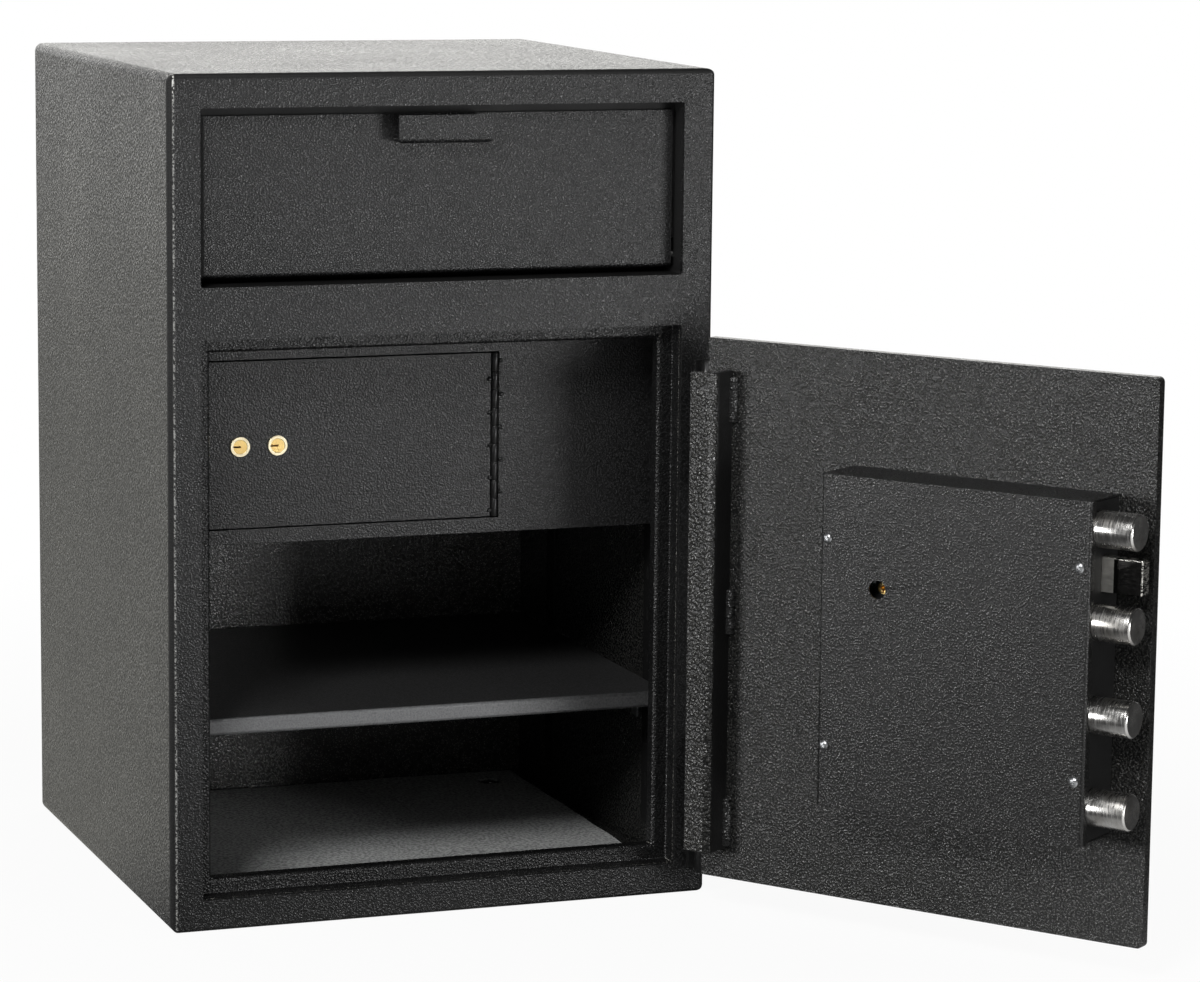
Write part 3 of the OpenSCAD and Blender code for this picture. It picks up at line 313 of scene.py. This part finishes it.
def latch_painted_reflections(name, strip_end, rim_start):
    """Ground steel painted dark as the dark it mirrors, with a painted bright reflection up to strip_end
    and painted highlights on its rims, in metres from the door's hinge edge.
    """
    t = Tree(name)
    s = t.math("SUBTRACT", t.along(D_OUT), D_OUT.dot(door(0, 0, 0)))
    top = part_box("latch_block")[1][2]
    brushed = t.noise(900.0, 2.0, 0.6, stretch=(0.2, 0.2, 1.0))
    strip = t.ramp(s, strip_end, strip_end - 0.0006)
    rims = t.math("MAXIMUM", t.ramp(t.place()["Z"], top - 0.0014, top - 0.0009),
                  t.ramp(s, rim_start, rim_start + 0.0006))
    rims = t.math("MULTIPLY", rims, t.ramp(brushed, 0.40, 0.55))
    bright = t.math("MAXIMUM", strip, rims)
    # Painted reflections: near black where the face mirrors the dark, bright on the strip and rims
    color = t.mix(bright, (0.035, 0.034, 0.033), (0.92, 0.90, 0.84))
    roughness = t.math("ADD", t.ramp(bright, 0.0, 1.0, 0.16, 0.34), t.ramp(brushed, 0.3, 0.7, -0.03, 0.05))
    return t.finish(color, roughness, t.bump(brushed, 0.4, 0.00004), metallic=1.0)


def edge_wear_and_glints(name, base, dot_tone, share):
    """Paint along an edge with paler, shinier dots and short runs, of wear and of painted highlights."""
    t = Tree(name)
    dots = t.noise(520.0, 2.0, 0.6)
    runs = t.noise(34.0, 3.0, 0.6)
    bright_dots = t.math("MULTIPLY", t.ramp(dots, 0.46, 0.60), t.ramp(runs, 0.60 - share, 0.75 - share))
    # The pale dots are partly rubbed-through wear and partly painted highlights
    color = t.mix(bright_dots, base, dot_tone)
    return t.finish(color, t.ramp(bright_dots, 0.0, 1.0, 0.42, 0.24), t.bump(dots, 0.8, 0.0003))


def metal(name, base, rough, grain=(1.0, 1.0, 1.0), scale=500.0, depth=0.00006, stain=None, turned=0.0):
    """Bare metal. turned is the angle in degrees that brings the grain's own X axis onto the object's."""
    t = Tree(name)
    if turned:
        rotate = t.new("ShaderNodeMapping")
        rotate.inputs["Rotation"].default_value = (0, 0, math.radians(turned))
        t.link(t.coords, rotate.inputs["Vector"])
        t.coords = rotate.outputs["Vector"]
    lines = t.noise(scale, 3.0, 0.6, stretch=grain)
    broad = t.noise(35.0, 4.0, 0.6)
    bright = tuple(min(1.0, c) for c in scaled(base, 1.1))
    color = t.mix(t.ramp(lines, 0.3, 0.7), scaled(base, 0.80), bright)
    dull = stain or scaled(base, 0.6)
    color = t.mix(t.math("MULTIPLY", t.ramp(broad, 0.50, 0.75), 0.6), color, dull)
    roughness = t.math("ADD", t.ramp(lines, 0.3, 0.7, rough - 0.05, rough + 0.1),
                       t.ramp(broad, 0.4, 0.8, -0.03, 0.12))
    return t.finish(color, roughness, t.bump(lines, 0.5, depth), metallic=1.0)


# Paints
COAT = dict(base=(0.0072, 0.0072, 0.0074), grain=560.0, depth=0.00030, rough=0.28, speck=0.55)
coat = powder_coat("coat", **COAT)
# The front plate's outer edges carry painted shade, and its left edge painted highlight dots
coat_front = powder_coat("coat_front", **COAT,
                         part_look=edge_shade_and_glints("front_frame", (0.0038, 0.0026, 0.0050), True))
# Painted shade along the drawer front's edges, widest on the left, for the gap round it
coat_drawer = powder_coat("coat_drawer", **COAT,
                          part_look=edge_shade_and_glints("drawer_front", (0.0068, 0.0010, 0.0005), False))
coat_wrap = powder_coat("coat_wrap", (0.018, 0.0178, 0.0167), grain=400.0, depth=0.0012, rough=0.24,
                        speck=0.6, contrast=1.1)
coat_door = powder_coat("coat_door", (0.010, 0.0099, 0.0092), grain=500.0, depth=0.0005, rough=0.25,
                        speck=0.65)
# The dead bar's web is painted near black as shade
coat_bar = powder_coat("coat_bar", (0.015, 0.0148, 0.0138), grain=330.0, depth=0.0009, rough=0.22, speck=0.7,
                       part_look=smooth_shaded_web("dead_bar", 0.004))
coat_cover = powder_coat("coat_cover", (0.006, 0.0059, 0.0057), grain=560.0, depth=0.00026, rough=0.28)
# The back panel's inner faces carry painted glints on the crowns of their grain
coat_inner = powder_coat("coat_inner", (0.009, 0.0089, 0.0086), grain=430.0, depth=0.00030, rough=0.20,
                         speck=1.0, part_look=glinting_inside("back_panel", (0.014, 0.0138, 0.0134),
                                                          (0.270, 0.2664, 0.2592)))
coat_locker = powder_coat("coat_locker", (0.010, 0.010, 0.0102), grain=540.0, depth=0.0003, rough=0.28,
                          contrast=0.8)
coat_smooth = smooth_coat("coat_smooth", (0.007, 0.007, 0.0071), rough=0.28)
coat_dark = smooth_coat("coat_dark", (0.006, 0.006, 0.006), rough=0.55, speck=0.3)
# The shelf's lip is paler grey, with painted door shadow towards its right end
shelf_coat = lip_coat("shelf_coat", (0.032, 0.032, 0.0323), (0.150, 0.152, 0.155))
coat_fold = powder_coat("coat_fold", (0.005, 0.005, 0.0051), grain=480.0, depth=0.0004, rough=0.26,
                        contrast=0.9)
bead_coat = smooth_coat("bead_coat", (0.014, 0.014, 0.014), rough=0.22)
# Edge paint: dim pale dots of wear that also stand for the edges' dotted highlights
coat_edge = edge_wear_and_glints("coat_edge", (0.006, 0.006, 0.006), (0.075, 0.075, 0.075), 0.12)
# Painted shade: near-black paint on the cover's eased edges stands for the dark lines round it
cover_edge_shade = smooth_coat("cover_edge_shade", (0.0015, 0.0015, 0.0015), rough=0.60, speck=0.2)
# Painted highlights: bright dots along the jamb's folds
fold_edge = edge_wear_and_glints("fold_edge", (0.010, 0.010, 0.010), (0.42, 0.41, 0.37), 0.30)

# Metals
steel = metal("steel", (0.55, 0.55, 0.54), rough=0.24)
bolt_steel = metal("bolt_steel", (0.68, 0.67, 0.65), rough=0.22, grain=(1.0, 0.12, 0.12), scale=800.0,
                   depth=0.00005, stain=(0.20, 0.165, 0.12), turned=OUTWARD_DEG)
# The latch's face carries painted reflections: a bright strip and bright rims on near black
latch_steel = latch_painted_reflections("latch_steel", 0.4242, 0.4494)
zinc = metal("zinc", (0.52, 0.53, 0.54), rough=0.30, scale=700.0)
brass = metal("brass", (0.80, 0.57, 0.22), rough=0.30, scale=900.0, depth=0.00003, stain=(0.62, 0.42, 0.15))
brass_ring = metal("brass_ring", (0.92, 0.82, 0.58), rough=0.34, scale=900.0, depth=0.00003,
                   stain=(0.80, 0.64, 0.36))


def mark_paint(name):
    """Off-white paint of the dial's marks."""
    t = Tree(name)
    fine = t.noise(900.0, 3.0, 0.6)
    color = t.mix(t.ramp(fine, 0.3, 0.7), (0.50, 0.50, 0.48), (0.72, 0.72, 0.70))
    return t.finish(color, None, t.bump(fine, 0.4, 0.00003), Roughness=0.5)


def felt_look(name):
    """Grey felt of dark and pale fibres."""
    t = Tree(name)
    fibres = t.noise(340.0, 2.0, 0.55)
    tufts = t.noise(45.0, 4.0, 0.65)
    color = t.mix(t.ramp(fibres, 0.38, 0.62), (0.045, 0.047, 0.045), (0.36, 0.37, 0.36))
    return t.finish(color, None, t.bump(t.math("ADD", fibres, tufts), 1.0, 0.0008), Roughness=0.95,
                    Specular_IOR_Level=0.15, Sheen_Weight=0.35, Sheen_Roughness=0.6)


mark = mark_paint("mark_white")
felt = felt_look("felt")

LOOKS = {
    "body_wrap": coat_wrap, "back_panel": coat_inner, "front_frame": coat_front, "door_jamb": coat_fold,
    "drawer_surround": coat_dark, "chute_plate": coat_dark, "fishing_baffle": coat_dark,
    "locker_front": coat_locker, "locker_floor": coat_dark, "locker_hinge_fixed": coat_smooth,
    "locker_hinge_pin": steel, "shelf": shelf_coat, "shelf_standards": coat_dark, "shelf_clips": zinc,
    "floor_mat": felt, "frame_hinge_leaves": coat_smooth, "door_hinge_pins": steel, "door_plate": coat_door,
    "door_hinge_leaves": coat_smooth, "dead_bar": coat_bar, "dead_bar_welds": bead_coat, "hardplate": steel,
    "lock_case": zinc, "lock_case_screws": zinc, "change_key_bush": brass, "bolt_guide": coat_dark,
    "carriage_studs": steel, "cover_posts": zinc, "boltwork_cover": coat_cover, "cover_screws": zinc,
    "dial_ring": steel, "handle_escutcheon": steel, "locking_bolts": bolt_steel, "bolt_bar": zinc,
    "latch_block": latch_steel, "handle_lever": zinc, "handle_spindle": steel, "handle_cam": zinc,
    "dial": coat_dark, "dial_spindle": steel, "drawer_front": coat_drawer, "drawer_pull": coat,
    "drawer_sides": coat_dark, "drawer_tray": coat_dark, "drawer_pivots": steel,
    "locker_door_panel": coat_locker, "locker_hinge_door": coat_smooth, "locker_lock_case": zinc,
    "locker_lock_noses": brass_ring, "locker_bolt": steel, "guard_plug": brass, "holder_plug": brass,
}
# Widths of the eased edges in metres, where they differ from the usual one, and the looks of those edges
EASED_USUAL = 0.0003
EASED = {
    "door_plate": 0.0011, "locking_bolts": 0.0005, "boltwork_cover": 0.0009,
    "dead_bar": 0.0007, "latch_block": 0.0009, "drawer_front": 0.0004, "drawer_pull": 0.0005,
}
EASED_ANGLE = math.radians(32)
EDGES = {"door_jamb": fold_edge, "boltwork_cover": cover_edge_shade}
# The bevels of these paints take coat_edge, with its wear and painted highlight dots
EDGE_WEAR_AND_GLINTS = (coat, coat_front, coat_drawer, coat_wrap, coat_door, coat_bar, coat_inner, coat_locker, coat_smooth)
for name, obj in NODES.items():
    obj.data.materials.clear()
    obj.data.materials.append(LOOKS[name])
    weld = obj.modifiers.new("weld", "WELD")
    weld.merge_threshold = 0.00001
    bevel = obj.modifiers.new("bevel", "BEVEL")
    bevel.width = EASED.get(name, EASED_USUAL)
    bevel.segments = 2
    bevel.limit_method = "ANGLE"
    bevel.angle_limit = EASED_ANGLE
    bevel.harden_normals = True
    bevel.use_clamp_overlap = True
    edge = EDGES.get(name, coat_edge if LOOKS[name] in EDGE_WEAR_AND_GLINTS else None)
    if edge:
        obj.data.materials.append(edge)
        bevel.material = 1


def from_bm(name, bm, material, body, smooth=True):
    """A piece of one material that rides on a body."""
    bmesh.ops.recalc_face_normals(bm, faces=bm.faces)
    data = bpy.data.meshes.new(name)
    bm.to_mesh(data)
    bm.free()
    obj = bpy.data.objects.new(name, data)
    scene.collection.objects.link(obj)
    data.materials.append(material)
    for p in data.polygons:
        p.use_smooth = smooth
    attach(obj, body)
    return obj


# Weld beads: one period of a ripple in radians, corners round a bead, and metres between its rings
RIPPLE = 6.28
BEAD_SIDES = 12
BEAD_STEP = 0.0006
rng = random.Random(11)


def add_bead(bm, a, b, across, out, width, height, lumps):
    """A lumpy weld from a to b: ripples along it, blobs at both ends, half sunk in what carries it."""
    run = (b - a).length
    n = max(10, int(run / BEAD_STEP))
    rings = []
    phase = [rng.uniform(0, RIPPLE) for _ in range(6)]

    def wave(f, length, which):
        """Height at the share f of the run, of a wave with this length in metres."""
        return math.sin(f * run / length * RIPPLE + phase[which])

    for i in range(n + 1):
        f = i / n
        end = min(f, 1 - f) * run
        cap = math.sqrt(max(0.0, 1 - max(0.0, 1 - end / (width * 0.8)) ** 2))
        ripple = 1 + 0.13 * wave(f, 0.0016, 0)
        swell = 0.5 * wave(f, 0.011, 1) * wave(f, 0.0047, 2)
        blob = 1 + lumps * (math.exp(-end / (width * 1.3)) * 0.8 + swell)
        drift = across * width * 0.15 * wave(f, 0.014, 3)
        ring = []
        for k in range(BEAD_SIDES):
            u = math.tau * k / BEAD_SIDES
            rough = 1 + 0.07 * math.sin(3 * u + phase[4] + f * 21) * wave(f, 0.0029, 5)
            r = max(0.02, cap * ripple * blob * rough)
            ring.append(bm.verts.new(a.lerp(b, f) + drift + across * (math.cos(u) * width / 2 * r)
                                     + out * (math.sin(u) * height * r)))
        rings.append(ring)
    for p, q in zip(rings, rings[1:]):
        for k in range(BEAD_SIDES):
            bm.faces.new((p[k], p[(k + 1) % BEAD_SIDES], q[(k + 1) % BEAD_SIDES], q[k]))
    bm.faces.new(rings[0])
    bm.faces.new(rings[-1])


# Welds along the foot of the dead bar, over the plain fillets. Each runs between two heights in mm.
DEAD_BAR_WELDS = ((452, 493), (260, 300), (66, 108))
bm = bmesh.new()
for z0, z1 in DEAD_BAR_WELDS:
    add_bead(bm, door(28.0, 2.2, z0), door(28.0, 2.2, z1), (D_OUT - N_IN).normalized(),
             (D_OUT + N_IN).normalized(), 0.0068, 0.0036, 0.5)
from_bm("dead_bar_beads", bm, bead_coat, "main_door")

# Round tacks beside the locker's hinge, the ones on the door halfway between those on the frame
TACK_PITCH, TACK_Y = 0.0305, -0.1684
TACK_HALF = Vector((0.0002, 0, 0.0022))
SIDEWAYS, FORWARD = Vector((1, 0, 0)), Vector((0, -1, 0))


def tacks(name, x, top, body):
    bm = bmesh.new()
    for k in range(5):
        centre = Vector((x, TACK_Y, top - k * TACK_PITCH + rng.uniform(-0.0008, 0.0008)))
        add_bead(bm, centre - TACK_HALF, centre + TACK_HALF, SIDEWAYS, FORWARD, 0.0042, 0.0015, 0.3)
    from_bm(name, bm, coat_smooth, body)


tacks("locker_door_tacks", 0.0706, 0.4750, "locker_door")
tacks("locker_frame_tacks", 0.0811, 0.4922, "cabinet")

# Weld dots in the corners of the jamb, low enough for the shut door, which stands 1 mm off the shoulder
DOT_X, DOT_Y, DOT_HEIGHTS = 0.2112, -0.2308, (0.5158, 0.0422)
DOT_HALF = Vector((0.0018, 0, 0))
bm = bmesh.new()
for side in (-1, 1):
    for z in DOT_HEIGHTS:
        centre = Vector((side * DOT_X, DOT_Y, z))
        add_bead(bm, centre - DOT_HALF, centre + DOT_HALF, UP, FORWARD, 0.0030, 0.0006, 0.2)
from_bm("jamb_weld_dots", bm, bead_coat, "cabinet")

# Felt mat: a thin sheet with slightly uneven edges and soft undulation, holed at the anchors
MAT_LEFT, MAT_RIGHT, MAT_FRONT, MAT_BACK = -0.2355, 0.2355, -0.2355, 0.2415
MAT_MID_Z, MAT_THICK = 0.0079, 0.0028
MAT_ACROSS, MAT_DEEP = 118, 120
FRAY, WAVE = 0.00012, 0.00035
ANCHOR, HOLE_R = 0.2, 0.0123
HOLES = [(sx * ANCHOR, sy * ANCHOR) for sx in (-1, 1) for sy in (-1, 1)]
bm = bmesh.new()
grid = {}
for i in range(MAT_ACROSS + 1):
    for j in range(MAT_DEEP + 1):
        x = MAT_LEFT + (MAT_RIGHT - MAT_LEFT) * i / MAT_ACROSS
        y = MAT_FRONT + (MAT_BACK - MAT_FRONT) * j / MAT_DEEP
        z = MAT_MID_Z + WAVE * math.sin(x * 31 + 1.3) * math.sin(y * 23) + 0.0002 * math.sin(x * 71 + y * 53)
        if i in (0, MAT_ACROSS):
            x += WAVE * math.sin(y * 90) + rng.uniform(-FRAY, FRAY)
        if j in (0, MAT_DEEP):
            y += WAVE * math.sin(x * 83) + rng.uniform(-FRAY, FRAY)
        for hx, hy in HOLES:
            dx, dy = x - hx, y - hy
            r = math.hypot(dx, dy)
            # Corners near a hole's rim move onto it
            if 0.0102 < r < 0.0145:
                x, y = hx + dx / r * HOLE_R, hy + dy / r * HOLE_R
        grid[i, j] = bm.verts.new((x, y, z))
for i in range(MAT_ACROSS):
    for j in range(MAT_DEEP):
        quad = [grid[i, j], grid[i + 1, j], grid[i + 1, j + 1], grid[i, j + 1]]
        mid = sum((v.co for v in quad), Vector()) / 4
        if all(math.hypot(mid.x - hx, mid.y - hy) > HOLE_R - 0.0002 for hx, hy in HOLES):
            bm.faces.new(quad)
bmesh.ops.delete(bm, geom=[v for v in bm.verts if not v.link_faces], context="VERTS")
mat_piece = from_bm("felt_mat", bm, felt, "cabinet")
thick = mat_piece.modifiers.new("thick", "SOLIDIFY")
thick.thickness = MAT_THICK
thick.offset = 0
soft_edge = mat_piece.modifiers.new("soft_edge", "BEVEL")
soft_edge.width = 0.0008
soft_edge.segments = 2
soft_edge.limit_method = "ANGLE"
soft_edge.angle_limit = math.radians(60)
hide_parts("floor_mat")

# Dial, in mm: its centre on the door, then the cone that carries the marks: outer radius, radial run,
# fall over that run, and the height of its outer rim above the door's inner face
DIAL_S, DIAL_Z = 224.0, 306.5
CONE_R, CONE_RUN, CONE_FALL, CONE_H = 31.0, 9.0, 6.0, -18.8


def dial_point(radius, angle, lift):
    """A point lift mm above the dial's cone, seen from outside, angle in degrees clockwise from the top."""
    h = CONE_H - CONE_FALL * (CONE_R - radius) / CONE_RUN - lift
    a = math.radians(angle)
    return door(DIAL_S - radius * math.sin(a), h, DIAL_Z + radius * math.cos(a))


def add_block(bm, top_corners, low_corners):
    """A closed block between two faces of four corners each."""
    top = [bm.verts.new(v) for v in top_corners]
    low = [bm.verts.new(v) for v in low_corners]
    bm.faces.new(top)
    bm.faces.new(low[::-1])
    for k in range(4):
        bm.faces.new((top[k], low[k], low[(k + 1) % 4], top[(k + 1) % 4]))


# Graduations: the lines of the tens are the longest and widest, those of the fives are the next
GRADUATIONS = 100
LINE_R, LINE_TOP, LINE_LOW = 30.4, 0.16, -0.3
bm = bmesh.new()
for k in range(GRADUATIONS):
    length = 4.6 if k % 10 == 0 else 3.6 if k % 5 == 0 else 2.4
    width = 0.42 if k % 10 == 0 else 0.26
    inner = LINE_R - length
    angle = k * 360 / GRADUATIONS
    outer_half, inner_half = math.degrees(width / 2 / LINE_R), math.degrees(width / 2 / inner)
    corners = ((LINE_R, angle - outer_half), (LINE_R, angle + outer_half),
               (inner, angle + inner_half), (inner, angle - inner_half))
    add_block(bm, [dial_point(*corner, LINE_TOP) for corner in corners],
              [dial_point(*corner, LINE_LOW) for corner in corners])
from_bm("dial_graduations", bm, mark, "dial", smooth=False)

# Plain numbers from 0 to 90, upright towards the dial's centre
FIGURE_R, FIGURE_SIZE = 24.0, 0.0042
figures = bmesh.new()
for k in range(10):
    curve = bpy.data.curves.new("figure", "FONT")
    curve.body = str(10 * k)
    curve.size = FIGURE_SIZE
    curve.align_x = "CENTER"
    curve.align_y = "CENTER"
    curve.extrude = 0.0002
    curve.offset = 0.00004
    curve.resolution_u = 3
    text = bpy.data.objects.new("figure", curve)
    scene.collection.objects.link(text)
    flat = bpy.data.meshes.new_from_object(text)
    angle = 36.0 * k
    centre = dial_point(FIGURE_R, angle, 0.05)
    inward = (dial_point(FIGURE_R - 1, angle, 0.25) - dial_point(FIGURE_R + 1, angle, 0.25)).normalized()
    side = (dial_point(FIGURE_R, angle + 4, 0.25) - dial_point(FIGURE_R, angle - 4, 0.25)).normalized()
    face = side.cross(-inward).normalized()
    if face.dot(N_IN) > 0:
        face = -face
    flat.transform(Matrix((
        (side.x, -inward.x, face.x, centre.x), (side.y, -inward.y, face.y, centre.y),
        (side.z, -inward.z, face.z, centre.z), (0, 0, 0, 1))))
    figures.from_mesh(flat)
    bpy.data.objects.remove(text)
    bpy.data.meshes.remove(flat)
    bpy.data.curves.remove(curve)
from_bm("dial_numbers", figures, mark, "dial", smooth=False)

# Index line on the dial's ring, a wedge that points at the centre, in mm
RING_H = -21.5
INDEX = [(-0.9, 40.0), (0.9, 40.0), (0.12, 34.0), (-0.12, 34.0)]
bm = bmesh.new()
add_block(bm, [door(DIAL_S + x, RING_H - 0.2, DIAL_Z + z) for x, z in INDEX],
          [door(DIAL_S + x, RING_H + 0.4, DIAL_Z + z) for x, z in INDEX])
from_bm("dial_index", bm, mark, "main_door", smooth=False)


# Stage: a pale floor that shows as white, a white world and soft lamps. The dark paint is glossy, so its
# tones are what it mirrors: a bright sector of floor behind it, one in front, and near black elsewhere.
WHITE, WARM = (1.0, 1.0, 1.0), (1.0, 0.985, 0.90)
REAR_NEAR, REAR_FAR, FRONT_LEVEL, DARK_LEVEL = 0.56, 0.41, 0.86, 0.05
floor_mesh = bpy.data.meshes.new("floor")
floor_mesh.from_pydata([(-9, -7, 0), (9, -7, 0), (9, 11, 0), (-9, 11, 0)], [], [(0, 1, 2, 3)])
floor = bpy.data.objects.new("floor", floor_mesh)
scene.collection.objects.link(floor)
ft = Tree("floor")
out = ft.nodes["Material Output"]
ft.shader.inputs["Base Color"].default_value = (0.8, 0.8, 0.8, 1)
ft.shader.inputs["Roughness"].default_value = 0.9
glow = ft.new("ShaderNodeEmission")
path = ft.new("ShaderNodeLightPath")
blend_floor = ft.new("ShaderNodeMixShader")
spot = ft.place()
across, deep = spot["X"], spot["Y"]
rear = ft.math("MULTIPLY", ft.ramp(ft.math("ADD", deep, across), -0.6, -0.2),
               ft.ramp(ft.math("SUBTRACT", deep, ft.math("MULTIPLY", across, 0.6)), -0.4, 0.0))
aside = ft.math("ABSOLUTE", ft.math("SUBTRACT", across, 0.5), 0)
front = ft.ramp(ft.math("SUBTRACT", ft.math("MULTIPLY", deep, -1), ft.math("MULTIPLY", aside, 1.3)), 0.2, 0.9)
reflected = ft.math("MAXIMUM", path.outputs["Is Glossy Ray"], path.outputs["Is Transmission Ray"])
behind_level = ft.math("MULTIPLY", rear, ft.ramp(deep, 1.0, 4.0, REAR_NEAR, REAR_FAR))
level = ft.math("MAXIMUM", behind_level, ft.math("MULTIPLY", front, FRONT_LEVEL))
mirrored = ft.math("MULTIPLY", ft.math("MAXIMUM", level, DARK_LEVEL), reflected)
reach = ft.new("ShaderNodeVectorMath", operation="LENGTH")
ft.link(ft.coords, reach.inputs[0])

# Near the safe a small share of what the camera sees is the lit floor, which carries the shadow
white_share = ft.ramp(reach.outputs["Value"], 0.6, 1.6, 0.93, 1.0)
seen = ft.math("MULTIPLY", path.outputs["Is Camera Ray"], white_share)
ft.link(ft.math("ADD", path.outputs["Is Camera Ray"], mirrored), glow.inputs["Strength"])
ft.link(ft.mix(ft.math("MULTIPLY", rear, reflected), WHITE, WARM), glow.inputs["Color"])
ft.link(ft.math("MAXIMUM", seen, reflected), blend_floor.inputs[0])
ft.link(ft.shader.outputs[0], blend_floor.inputs[1])
ft.link(glow.outputs[0], blend_floor.inputs[2])
ft.link(blend_floor.outputs[0], out.inputs["Surface"])
floor_mesh.materials.append(ft.mat)

world = bpy.data.worlds.new("world")
scene.world = world
world.use_nodes = True
wn, wl = world.node_tree.nodes, world.node_tree.links


def background(node, strength):
    node.inputs["Color"].default_value = (*WHITE, 1)
    node.inputs["Strength"].default_value = strength
    return node


plain = background(wn["Background"], 0.26)
dark = background(wn.new("ShaderNodeBackground"), 0.03)
white = background(wn.new("ShaderNodeBackground"), 1.0)
ray = wn.new("ShaderNodeLightPath")
way = wn.new("ShaderNodeTexCoord")
parts = wn.new("ShaderNodeSeparateXYZ")
wl.new(way.outputs["Generated"], parts.inputs[0])
behind = wn.new("ShaderNodeMapRange")
behind.inputs["From Min"].default_value = 0.55
behind.inputs["From Max"].default_value = 0.75
wl.new(parts.outputs["Y"], behind.inputs["Value"])


def world_math(operation, a, b):
    node = wn.new("ShaderNodeMath")
    node.operation = operation
    wl.new(a, node.inputs[0])
    wl.new(b, node.inputs[1])
    return node.outputs[0]


reflected = world_math("MAXIMUM", ray.outputs["Is Glossy Ray"], ray.outputs["Is Transmission Ray"])
gloss = wn.new("ShaderNodeMixShader")
wl.new(reflected, gloss.inputs[0])
wl.new(plain.outputs[0], gloss.inputs[1])
wl.new(dark.outputs[0], gloss.inputs[2])
mixer = wn.new("ShaderNodeMixShader")
shown = world_math("MAXIMUM", ray.outputs["Is Camera Ray"],
                   world_math("MULTIPLY", reflected, behind.outputs[0]))
wl.new(shown, mixer.inputs[0])
wl.new(gloss.outputs[0], mixer.inputs[1])
wl.new(white.outputs[0], mixer.inputs[2])
wl.new(mixer.outputs[0], wn["World Output"].inputs["Surface"])


def lamp(name, place, target, size, power, color=WHITE):
    """A soft rectangular lamp at place, turned to target; size in metres, power in watts."""
    data = bpy.data.lights.new(name, "AREA")
    data.shape = "RECTANGLE"
    data.size, data.size_y = size
    data.energy = power
    data.color = color
    obj = bpy.data.objects.new(name, data)
    scene.collection.objects.link(obj)
    obj.location = place
    obj.rotation_mode = "QUATERNION"
    obj.rotation_quaternion = (Vector(target) - Vector(place)).to_track_quat("-Z", "Y")
    obj.visible_camera = False


lamp("key", (-1.75, -2.55, 2.5), (0, -0.15, 0.35), (1.0, 1.0), 85)
lamp("fill", (1.5, -2.95, 0.45), (0.0, -0.2, 0.35), (0.8, 0.8), 24)
lamp("left", (-3.3, -0.75, 0.62), (0.4, -0.5, 0.6), (0.9, 0.7), 46)
lamp("back", (1.4, 3.4, 1.3), (0.2, 0.2, 0.6), (4.0, 2.6), 36, (1.0, 0.985, 0.93))
